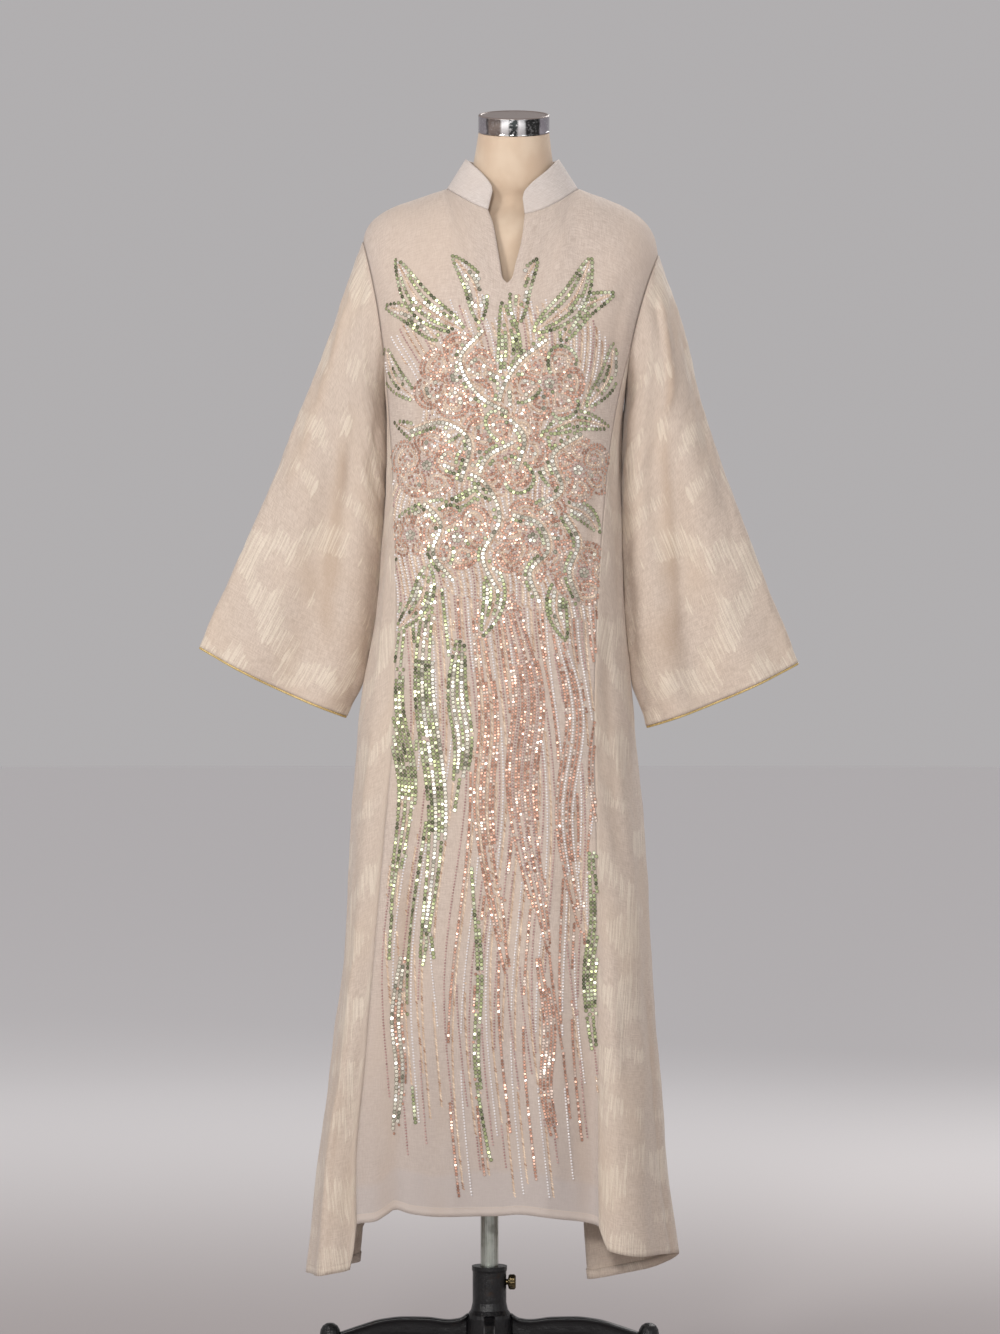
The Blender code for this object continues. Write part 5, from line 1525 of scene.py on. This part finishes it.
def blossom(centre, radius, petals, turn, edge):
    """A heart of two rings, and petals that are outlined and then filled with smaller ones."""
    centre, radius = mm(centre), mm(radius)
    t = np.linspace(0, 2 * pi, 30)
    for kind, ring_radius in HEART:
        sew(kind, np.stack((centre[0] + ring_radius * np.cos(t), centre[1] + ring_radius * np.sin(t)), -1))
    for i in range(petals):
        angle = turn + 2 * pi * i / petals + DICE.uniform(-0.12, 0.12)
        reach = radius * DICE.uniform(0.86, 1.08)
        wide = pi * radius / petals * 0.86
        outline = GREEN if edge == "mixed" and i % 2 else edge.replace("mixed", COPPER)
        sew(outline, petal_path(centre, angle, 0.011, reach - 0.011, wide))
        for k, kind in enumerate(PETAL_FILL):
            shrink = 1 - 0.13 * (k + 1)
            if kind == CLEAR and DICE.random() < CLEAR_SHARE:
                kind = COPPER
            sew(kind, petal_path(centre, angle, 0.012 + 0.045 * radius * k, (reach - 0.012) * shrink,
                                 wide * shrink), 0.04)


def catkin(path, width, rows, kinds):
    """A long hanging band of rows that draw together at both ends."""
    share = np.linspace(0, 1, len(path))
    swell = mm(width) * np.sin(pi * (0.06 + 0.94 * share)) ** 0.6
    for row in range(rows):
        offset = 2 * row / max(rows - 1, 1) - 1
        end = int(len(path) * DICE.uniform(0.82, 1.0))
        sew(kinds[row % len(kinds)], beside(path, swell * offset)[:end], 0.02)


# The motifs are laid out in millimetres, across from the middle and up from the floor.
# centre, radius, petals, turn and the petals' edge
BLOSSOMS = (
    ((-58, 1408), 57, 6, 0.4, COPPER), ((66, 1400), 52, 6, 0.1, "mixed"),
    ((4, 1312), 62, 7, 0.7, "mixed"), ((-96, 1292), 48, 5, 0.2, COPPER),
    ((104, 1286), 46, 6, 0.5, COPPER), ((44, 1196), 60, 7, 0.2, COPPER),
    ((-56, 1196), 48, 6, 0.9, "mixed"), ((112, 1150), 40, 5, 0.0, COPPER),
    ((-118, 1200), 28, 5, 0.3, COPPER),
)
# foot, tip, half width and bend
LEAVES = (
    ((-46, 1468), (-138, 1568), 17, 0.12), ((-26, 1480), (-62, 1571), 13.5, -0.12),
    ((-82, 1458), (-153, 1506), 14, -0.12), ((46, 1468), (122, 1570), 17, -0.12),
    ((24, 1478), (50, 1566), 12.5, 0.1), ((82, 1456), (153, 1522), 14.5, 0.14),
    ((3, 1384), (4, 1508), 15, -0.08), ((-112, 1380), (-152, 1452), 12, 0.12),
    ((116, 1370), (152, 1456), 12, -0.12), ((-46, 1340), (-140, 1352), 13.5, 0.16),
    ((62, 1336), (146, 1344), 12.5, 0.14), ((-70, 1245), (-152, 1150), 15, -0.16),
    ((-24, 1262), (-80, 1236), 10.5, 0.12), ((70, 1262), (60, 1340), 10.5, 0.08),
    ((86, 1240), (133, 1204), 11.5, 0.12), ((-12, 1166), (-22, 1066), 14, 0.1),
    ((80, 1146), (88, 1060), 13, -0.1), ((-94, 1160), (-136, 1074), 14, 0.12),
)
# path, half width, rows and the kinds of its rows
CATKINS = (
    (flow((-126, 1110), (-140, 980), (-122, 860), (-146, 690)), 12.5, 6,
     (GREEN,)),
    (flow((-90, 1140), (-100, 1000), (-82, 820), (-104, 620)), 12.5, 6,
     (GREEN, GREEN, CLEAR)),
    (flow((128, 1100), (140, 990), (128, 880), (146, 760)), 10.5, 5,
     (COPPER,)),
    (flow((10, 1120), (38, 990), (30, 850), (66, 640)), 21, 11,
     (COPPER, COPPER, ROSE)),
    (flow((-30, 1090), (-14, 960), (-20, 820), (14, 600)), 13, 7,
     (COPPER, BUGLES, COPPER)),
    (flow((74, 1080), (100, 960), (86, 820), (112, 660)), 12, 6,
     (COPPER, COPPER, PEARL)),
    (flow((-52, 1060), (-56, 990), (-48, 920), (-60, 830)), 12.5, 5,
     (GREEN, CLEAR)),
    (flow((124, 780), (134, 690), (124, 600), (138, 450)), 13.5, 6,
     (GREEN,)),
    (flow((52, 640), (66, 550), (62, 460), (88, 350)), 7.5, 4,
     (COPPER,)),
    (flow((-36, 760), (-26, 620), (-30, 500), (-10, 360)), 2.8, 2,
     (GREEN,)),
    (flow((-128, 640), (-136, 560), (-130, 480), (-142, 380)), 7, 4,
     (CLEAR, COPPER)),
)
TENDRILS = (
    flow((-22, 1470), (-52, 1432), (-30, 1386), (12, 1360)),
    flow((62, 1458), (22, 1424), (0, 1372), (32, 1330), (22, 1286)),
    flow((-118, 1338), (-74, 1348), (-40, 1322), (-52, 1268)),
    flow((108, 1334), (70, 1304), (82, 1260), (50, 1236)),
    flow((-74, 1292), (-22, 1270), (0, 1222), (-22, 1172), (-2, 1124)),
    flow((18, 1322), (-18, 1300), (-26, 1262), (4, 1246)),
    flow((-100, 1242), (-78, 1214), (-88, 1176), (-62, 1140)),
    flow((18, 1226), (52, 1214), (64, 1180), (40, 1150), (52, 1112)),
    flow((86, 1226), (104, 1190), (92, 1150), (106, 1110)),
    flow((-14, 1414), (10, 1398), (14, 1370)),
)
for path in TENDRILS:
    sew(CLEAR, path)
    sew(BUGLES, beside(path, 0.0046))
    sew(GREEN, beside(path, -0.0058), 0.35)
for motif, rows in ((blossom, BLOSSOMS), (leaf, LEAVES), (catkin, CATKINS)):
    for row in rows:
        motif(*row)
    print(len(rows), "times", motif.__name__)


# %% Long threads that hang below, and the ground between the motifs
def thread_path(top, bottom, sway, phase):
    """A thread that leaves top, swings twice and hangs straight at last."""
    share = np.linspace(0, 1, 80)
    drift = smooth(share) ** 0.8
    x = lerp(top[0], bottom[0], drift) + sway * np.sin(phase + 5.4 * share) * np.sin(pi * share) ** 0.7
    return np.stack((x, lerp(top[1], bottom[1], share)), -1)


def stream(count, top_from, top_to, bottom_from, bottom_to, kinds, sway, phase, shorter=0.2):
    """Threads side by side between two top places and two bottom places."""
    for i in range(count):
        share = (i + 0.5) / count
        x_top, z_top = lerp(np.array(top_from), np.array(top_to), share)
        x_end, z_end = lerp(np.array(bottom_from), np.array(bottom_to), share)
        z_end += shorter * DICE.random() ** 1.8
        sew(kinds[i % len(kinds)], thread_path((x_top, z_top), (x_end, z_end), sway, phase))


stream(15, (-0.128, 1.12), (-0.066, 1.13), (-0.148, 0.4), (-0.074, 0.33),
       (ROSE, BUGLES, GREEN, PEARL, BUGLES), 0.017, 0.4, 0.3)
stream(26, (-0.062, 1.12), (0.052, 1.1), (-0.062, 0.322), (0.086, 0.322),
       (ROSE, COPPER, BUGLES, ROSE, PEARL, BUGLES), 0.02, 0.2)
stream(15, (0.054, 1.1), (0.132, 1.08), (0.092, 0.33), (0.15, 0.42),
       (COPPER, PEARL, ROSE, BUGLES), 0.016, 0.0, 0.28)
GROUND, GROUND_TOP, GROUND_FOOT = 74, 1.516, 1.085      # its lines, and where they start and end
for i in range(GROUND):
    place = (i + 0.5) / GROUND * 2 - 1
    share = np.linspace(0, 1, 90)
    waist = 1 - 0.26 * np.sin(pi * share ** 0.7) ** 2
    x = 0.146 * place * waist + 0.034 * np.sin(5.6 * share + 1.2) * np.sin(pi * share)
    top = GROUND_TOP - 0.05 * abs(place) ** 3 - (0.028 if abs(place) < 0.16 else 0) - DICE.uniform(0, 0.018)
    sew((PEARL, BUGLES, PEARL, ROSE, BUGLES)[i % 5],
        np.stack((x, lerp(top, GROUND_FOOT + 0.03 * math.cos(5 * place), share)), -1))
print({kind: len(rows) for kind, rows in sewn.items()})


# %% Repeat the templates
def repeat(name, template, place, ahead, normal, face, turn, scale):
    """Copies of a template, each at its place, turned in the plane of its face."""
    points, faces = TEMPLATES[template]
    count = len(place)
    side = unit(np.cross(normal, ahead))
    ahead = np.cross(side, normal)
    first = ahead * each(np.cos(turn)) + side * each(np.sin(turn))
    second = unit(np.cross(face, first))
    first = np.cross(second, face)
    size = 1 + DICE.normal(0, 0.035, count)
    scaled = points * scale
    vertices = place[:, None] + size[:, None, None] * (
        scaled[None, :, :1] * first[:, None] + scaled[None, :, 1:2] * second[:, None]
        + scaled[None, :, 2:] * face[:, None])
    every = [[i * len(points) + corner for corner in corners] for i in range(count) for corners in faces]
    made = make_mesh(name, vertices.reshape(-1, 3), every, curved="sequin" not in template)
    # rim: how far out on the piece a point lies, which places the painted shade on a sequin's rim
    rim = np.clip(np.linalg.norm(points[:, :2], axis=1), 0, 1)
    # drift gives neighbours like tints, so that on sequins the painted flash and the painted shade come in
    # runs
    drift = 0.5 + 0.5 * np.sin(130 * place[:, 0] - 85 * place[:, 2] + 2 * np.sin(60 * place[:, 2]))
    tint = 0.68 * DICE.random(count) + 0.32 * drift
    for mark, values in (("tint", np.repeat(tint, len(points))), ("rim", np.tile(rim, count))):
        layer = made.data.attributes.new(mark, "FLOAT", "POINT")
        layer.data.foreach_set("value", values.astype(np.float32))
    return made


SEQUIN_LIFT = 0.0002


def sew_on(kind, rows):
    template, scale, pitch, room, tilt = STITCHES[kind]
    place, normal, ahead = [], [], []
    for x, z, dx, dz in rows:
        hit, face_normal = CLOTH_FRONT.ray_cast(Vector((x, -1.0, z)), Vector((0, 1, 0)))[:2]
        if hit is not None:
            place.append(hit)
            normal.append(face_normal if face_normal.y < 0 else -face_normal)
            ahead.append((dx, 0.0, dz))
    place, normal, ahead = np.array(place), np.array(normal), np.array(ahead)
    count = len(place)
    spread = math.radians(tilt)
    x, z = place[:, 0], place[:, 2]
    shared = np.stack((np.sin(95 * x + 60 * z), np.sin(70 * x - 105 * z)), -1)
    own = DICE.normal(0, 1, (count, 2)).clip(-2.2, 2.2)
    lean = np.tan(spread * (0.75 * own + 0.6 * shared) + (0, HANG * (tilt > 5)))
    face = unit(normal + lean[:, :1] * (1, 0, 0) + lean[:, 1:] * (0, 0, 1))
    if "sequin" in template:
        turn = DICE.uniform(0, 2 * pi, count)
        place = place + normal * (SEQUIN_LIFT + 0.5 * scale * np.abs(lean).max(axis=1, keepdims=True))
    else:
        turn = DICE.normal(SLANT, 0.1, count)
    return repeat(kind, template, place, ahead, normal, face, turn, scale)


TRIMMING = {kind: sew_on(kind, rows) for kind, rows in sewn.items()}
for kind, made in TRIMMING.items():
    print(kind, sum(len(face.vertices) - 2 for face in made.data.polygons), "triangles")


# %% Their finishes
def sequin(name, mid, painted_shade, painted_flash, deep):
    """Lacquered foil with a painted shade on its rim. Its tint picks its colour: the lowest tints a painted
    shade, the middle ones its own colour, the highest a painted flash.
    """
    finish = Finish(name, metallic=0.55, roughness=0.29, specular_ior_level=0.7, coat_weight=0.3,
                    coat_roughness=0.08)
    tint, rim = finish.mark("tint"), finish.mark("rim")
    deepest = tuple(a + (b - a) * deep for a, b in zip(mid, painted_shade))
    middling = tuple((a + b) / 2 for a, b in zip(mid, painted_shade))
    # the lowest tints take a painted shade and the highest a painted flash
    colour = finish.stops(tint, ((0.0, deepest), (0.13, deepest), (0.25, middling), (0.4, mid), (0.62, mid),
                                 (0.85, painted_flash), (1.0, painted_flash)))
    # painted shade round each sequin's rim
    colour = finish.mix(finish.between(rim, 0.76, 0.9) * 0.9, colour, painted_shade)
    return finish.set(base_color=colour)


def glass(name, deep, light, rough):
    finish = Finish(name, roughness=rough, specular_ior_level=0.8, coat_weight=0.5, coat_roughness=0.06)
    # the tint runs from the deep tone to the light one; for the bugles this is partly painted shade and
    # painted highlight
    return finish.set(base_color=finish.mix(finish.mark("tint"), deep, light))


# each sequin: its own colour, its painted shade, its painted flash, and how far its deepest tints go towards
# the painted shade
TRIM_FINISH = {
    GREEN: sequin("green_sequin", (0.42, 0.465, 0.23), (0.032, 0.042, 0.018), (0.86, 0.9, 0.64), 0.78),
    CLEAR: sequin("clear_sequin", (0.84, 0.79, 0.66), (0.09, 0.1, 0.05), (1.0, 0.985, 0.91), 0.75),
    COPPER: sequin("copper_sequin", (0.8, 0.45, 0.32), (0.2, 0.08, 0.05), (1.0, 0.84, 0.72), 0.55),
    PEARL: glass("pearl_bead", (0.74, 0.7, 0.7), (0.97, 0.94, 0.93), 0.14),
    ROSE: glass("rose_bead", (0.34, 0.19, 0.18), (0.66, 0.44, 0.4), 0.16),
    # the bugles' deep end is painted shade between them and their near-white light end a painted highlight
    BUGLES: glass("glass_bugle", (0.4, 0.21, 0.12), (1.0, 0.82, 0.62), 0.12),
}
for kind, made in TRIMMING.items():
    made.data.materials.append(TRIM_FINISH[kind])
    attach(made, "form")
    print(made.name, "wears", made.data.materials[0].name)


# %% [markdown]
# ## Sewing
#
# Thread shows where the garment is sewn through: round the slit's facing, along the hems and above the
# cuffs. Each stitch is a short bit of thread on the cloth, so the same half tube as the bugles'
# serves, laid one behind the other along a line of the cloth's own grid.


# %% Stitches along lines of the cloth
STITCH = (0.0024, 0.00055, 0.00055)      # its length and its thickness both ways
STITCH_PITCH, STITCH_LIFT = 0.0033, 0.00005


def grid_line(key, rows, columns):
    """Points and outward normals along a line of a laid grid, at fractional rows and columns."""
    points, normal = LAID[key][:2]
    rows, columns = paired(rows, columns)
    row, column = np.floor(rows).astype(int), np.floor(columns).astype(int)
    row, column = np.minimum(row, points.shape[0] - 2), np.minimum(column, points.shape[1] - 2)
    down, across = each(rows - row), each(columns - column)
    found = []
    for grid in (points, normal * NORMAL_SIGN[key]):
        found.append(lerp(lerp(grid[row, column], grid[row, column + 1], across),
                          lerp(grid[row + 1, column], grid[row + 1, column + 1], across), down))
    return found[0] + found[1] * STITCH_LIFT, found[1]


def index_at(value, values):
    """The fractional index at which rising values reach a value."""
    return float(np.interp(value, values, np.arange(len(values))))


def row_at(key, metres):
    """The fractional row that lies some metres from the grid's end."""
    down = lengths(LAID[key][0], 0).mean(axis=1)
    return index_at(down[-1] - metres, down)


HEM_STITCH, CUFF_STITCH = 0.0112, 0.017                # from the edge, in metres
SLIT_STITCH, SLIT_STITCH_END = 0.085, SLIT_END + 0.055      # as shares of the panel and of its yoke
lines = []
for side in SHOULDERS:
    key = ("front_panel", side)
    across, down = LAID[key][2:]
    slit_down, slit_across = index_at(SLIT_STITCH_END * YOKE, down), index_at(SLIT_STITCH, across)
    lines.append(grid_line(key, np.linspace(1.0, slit_down, 60), slit_across))
    lines.append(grid_line(key, slit_down, np.linspace(0, slit_across, 20)))
    for name in ("front_panel", "back_panel", "side_panel_" + side):
        columns = np.linspace(0, LAID[name, side][0].shape[1] - 1, 300)
        lines.append(grid_line((name, side), row_at((name, side), HEM_STITCH), columns))
    key = ("sleeve_" + side, side)
    lines.append(grid_line(key, row_at(key, CUFF_STITCH), np.linspace(0, SLEEVE_COLUMNS - 1, 400)))


def run_stitches(name, lines):
    place, ahead, normal = [], [], []
    for points, outward in lines:
        along = run_of(points)
        at = np.arange(STITCH_PITCH / 2, along[-1], STITCH_PITCH)
        place.append(at_places(at, along, points))
        ahead.append(at_places(at + 0.001, along, points) - at_places(at - 0.001, along, points))
        normal.append(unit(at_places(at, along, outward)))
    place, ahead, normal = (np.concatenate(parts) for parts in (place, ahead, normal))
    turn = DICE.normal(0, 0.05, len(place))
    return repeat(name, "bugle", place, ahead, normal, normal, turn, STITCH)


SEWING = run_stitches("sewing_thread", lines)
SEWING.data.materials.append(Finish("sewing_thread", base_color=(0.6, 0.5, 0.42, 1), roughness=0.7,
                                    sheen_weight=0.3).material)
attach(SEWING, "form")
print(len(SEWING.data.polygons) // 5, "stitches")

# %% [markdown]
# ## Which finish goes where
#
# Every piece rides on the body that carries it. The cloth, its trimming and the form move
# together, so they ride on the form. A shell that stands for one of the model's solids hides that solid,
# and the solids that are right as they are, such as the castings, only get their finish.

# %% Dress the pieces
FINISH_OF = {
    "front_panel": "plain_cloth", "collar": "pale_cloth", "neck_facing": "pale_cloth",
    "hem_front": "pale_cloth", "cuff_edge_left": "gold_edge", "cuff_edge_right": "gold_edge",
    "form_torso": "jersey", "form_neck_cap": "chrome",
}
for name, made in PIECES.items():
    finish = FINISH_OF.get(name, "jacquard")
    made.data.materials.append(FINISHES[finish])
    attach(made, "form")
    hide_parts(name)
print(len(PIECES), "pieces ride on the form")


# %% [markdown]
# ## The cut of the cloth
#
# Each panel was cut flat before it was sewn, and we print its cut: its width and length, and its true area,
# which is smaller where the cut is shaped. The sleeves are tubes, so their cut goes all the way round.


# %% Say how each cloth was cut
def cut(name, rests_on, with_pieces=()):
    """Print a sheet's flat size and area, as its own grids measure them."""
    grids = [points for (laid, side), (points, *rest) in LAID.items() if laid == name]
    width = np.sum([lengths(points, 1)[:, -1] for points in grids], axis=0).max()
    length = max(lengths(points, 0)[-1].max() for points in grids)
    flat = (round(float(width), 3), round(float(length), 3))
    area = 0.0
    for points in grids:
        patches = np.cross(np.diff(points, axis=0)[:, :-1], np.diff(points, axis=1)[:-1])
        area += float(np.linalg.norm(patches, axis=-1).sum())
    area = min(round(area, 4), 0.999 * flat[0] * flat[1])
    print(f"{name}: cut {flat[0]:.3f} x {flat[1]:.3f} m, {area:.3f} square metres")


cut("front_panel", ["form_torso"], [PIECES["hem_front"], PIECES["neck_facing"], SEWING,
                                            *TRIMMING.values()])
cut("back_panel", ["form_torso"], [PIECES["hem_back"]])
for side in SHOULDERS:
    cut("side_panel_" + side, ["front_panel", "back_panel"], [PIECES["hem_" + side]])
    cut("sleeve_" + side, ["front_panel", "back_panel", "side_panel_" + side],
        [PIECES["cuff_edge_" + side]])
cut("collar", ["front_panel", "back_panel"])


# %% [markdown]
# ## The stand
#
# The arms were cast with rounded edges and run into the hub and the feet without a gap. We sweep each one
# again along its measures with more and rounder sections. The other castings stay as they are.


# %% Four cast arms
ARM = table(
    "along top depth",
    (0.0295, 0.1528, 0.033), (0.04, 0.1462, 0.028), (0.055, 0.1443, 0.026), (0.085, 0.1475, 0.026),
    (0.115, 0.148, 0.025), (0.145, 0.1448, 0.024), (0.175, 0.1362, 0.022), (0.2016, 0.1272, 0.021),
)
WEB, FLANGE, RIM, RIM_SLOPE = 0.004, 0.0075, 0.0045, 0.002
CORNER = 0.2      # how much of each edge is cut off at its corners


def rounded(ring):
    """A ring of points with its corners cut twice."""
    for _ in range(2):
        after = np.roll(ring, -1, axis=0)
        ring = np.stack((lerp(ring, after, CORNER), lerp(after, ring, CORNER)), 1).reshape(-1, 3)
    return ring


def cast_arm(side, direction):
    rings = []
    for along in np.linspace(ARM["along"][0], ARM["along"][-1], 60):
        size = measures(ARM, "along", along)
        top, foot = size["top"], size["top"] - size["depth"]
        half = np.array([(FLANGE, top), (FLANGE, top - RIM), (WEB, top - RIM - RIM_SLOPE), (WEB, foot)])
        section = np.concatenate((half, half[::-1] * (-1, 1)))
        rings.append(rounded(xyz(along, section[:, 0], section[:, 1])))
    rings = np.array(rings)
    across, up = math.cos(direction), math.sin(direction)
    points = xyz(POLE_X + rings[..., 0] * across - rings[..., 1] * up,
                 rings[..., 0] * up + rings[..., 1] * across, rings[..., 2])
    count = points.shape[1]
    closed = quads_of(len(points), count + 1)
    row, column = np.divmod(closed, count + 1)
    sides = (row * count + column % count).tolist()
    ends = [list(range(count))[::-1], [(len(points) - 1) * count + i for i in range(count)]]
    curved = np.arange(len(sides + ends)) < len(sides)
    made = make_mesh("cast_arm_" + side, points.reshape(-1, 3), sides + ends, curved=curved)
    made.data.materials.append(FINISHES["cast_iron"])
    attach(made, "base")
    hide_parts("stand_leg_" + side)


ARMS = {"left": pi, "right": 0.0, "front": -pi / 2, "back": pi / 2}
for side, direction in ARMS.items():
    cast_arm(side, direction)
print(len(ARMS), "arms")


# %% The other parts of the stand stay
KEPT = {"pole": "aluminium", "form_boss": "wood", "stand_hub": "cast_iron", "thumb_screw": "brass"}
KEPT.update({"stand_foot_" + side: "cast_iron" for side in ARMS})
for name, finish in KEPT.items():
    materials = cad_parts[name].data.materials
    materials.clear()
    materials.append(FINISHES[finish])
print(len(KEPT), "parts of the stand keep their shape")

# %% [markdown]
# ## Floor, light and camera
#
# The studio is a wide pale floor under an even pale sky, and it has no wall, so the back of the garment can
# be seen as well. The floor's paint runs from mid grey in its middle to near white at its rim: the paler
# paint far out is painted light, which stands in for the light the far floor doesn't get and hides the
# horizon. A broad soft light from the upper left shapes the folds, a weaker one fills from the right, a small
# one near the camera makes the sequins flash, as a photographer's lamp does, and the last one lights the
# back. The camera stands six metres back with a long lens and looks level, so the upright lines stay upright.


# %% Floor
def wide_floor():
    radius = np.array([0.0, 1.5, 4.0, 10.0, 40.0])
    turn = np.linspace(0, 2 * pi, 65)
    grid = xyz(radius[:, None] * np.cos(turn), radius[:, None] * np.sin(turn), 0 * turn[None, :])
    made = make_mesh("studio_floor", *welded(grid)[:2], curved=False)
    print("the floor is", 2 * radius[-1], "m wide")
    return made


def studio_paint():
    finish = Finish("studio_paint", roughness=0.9, specular_ior_level=0.1)
    far = finish.add("ShaderNodeVectorMath", {"operation": "LENGTH"}, {0: finish.solid()}, "Value")
    # painted light: the paint pales from mid grey to near white outwards, standing in for light the far floor
    # doesn't get
    paint = finish.mix(finish.between(far, 0.6, 5.0), (0.4, 0.37, 0.37), (0.97, 0.955, 0.96))
    return finish.set(base_color=paint)


wide_floor().data.materials.append(studio_paint())


# %% Lights
def soft_light(name, place, target, size, power, colour):
    made = link(bpy.data.objects.new(name, bpy.data.lights.new(name, "AREA")))
    made.data.shape = "DISK"
    made.data.size = size
    made.data.energy = power
    made.data.color = colour
    made.location = place
    made.rotation_euler = (Vector(target) - Vector(place)).to_track_quat("-Z", "Y").to_euler()


# name, place, what it is aimed at, width, power and colour
LIGHTS = (
    ("key", (-2.8, -3.6, 2.9), (0, 0, 1.35), 1.2, 86, (1.0, 0.98, 0.955)),
    ("fill", (3.0, -3.6, 2.1), (0, 0, 1.2), 2.2, 18, (0.95, 0.97, 1.0)),
    ("lamp", (-0.7, -6.4, 2.6), (0, 0, 1.35), 0.75, 128, (1.0, 0.985, 0.97)),
    ("back", (1.6, 2.6, 3.4), (0, 0, 1.2), 1.8, 75, (1.0, 0.98, 0.96)),
)
for row in LIGHTS:
    soft_light(*row)
world = bpy.data.worlds.new("studio air")
world.use_nodes = True
sky = world.node_tree.nodes["Background"].inputs
sky["Color"].default_value = (0.8, 0.775, 0.785, 1)
sky["Strength"].default_value = 0.55
bpy.context.scene.world = world
bpy.context.scene.view_settings.view_transform = "Standard"
print(len(LIGHTS), "lights")

# %% Camera
PIXEL = 0.00135             # metres that one pixel of the picture covers at the garment's middle
FRAME_HEIGHT = 1334         # in pixels
SENSOR = 36                 # in millimetres
DISTANCE = 6.0
AIM = (0.0007, 1.025)       # where the picture's middle lies, across and up
camera = link(bpy.data.objects.new("camera", bpy.data.cameras.new("camera")))
camera.data.sensor_fit = "VERTICAL"
camera.data.sensor_height = SENSOR
camera.data.lens = SENSOR / (FRAME_HEIGHT * PIXEL) * DISTANCE
camera.location = (AIM[0], -DISTANCE, AIM[1])
camera.rotation_euler = (pi / 2, 0, 0)
bpy.context.scene.camera = camera
print("lens", round(camera.data.lens), "mm")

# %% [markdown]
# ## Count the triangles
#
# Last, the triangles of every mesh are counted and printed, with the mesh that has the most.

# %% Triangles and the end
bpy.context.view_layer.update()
evaluated = bpy.context.evaluated_depsgraph_get()
corners = {made.name: sum(len(face.vertices) - 2 for face in made.evaluated_get(evaluated).data.polygons)
           for made in bpy.context.scene.objects if made.type == "MESH"}
largest = max(corners, key=corners.get)
print(f"{sum(corners.values())} triangles, most in {largest}: {corners[largest]}")
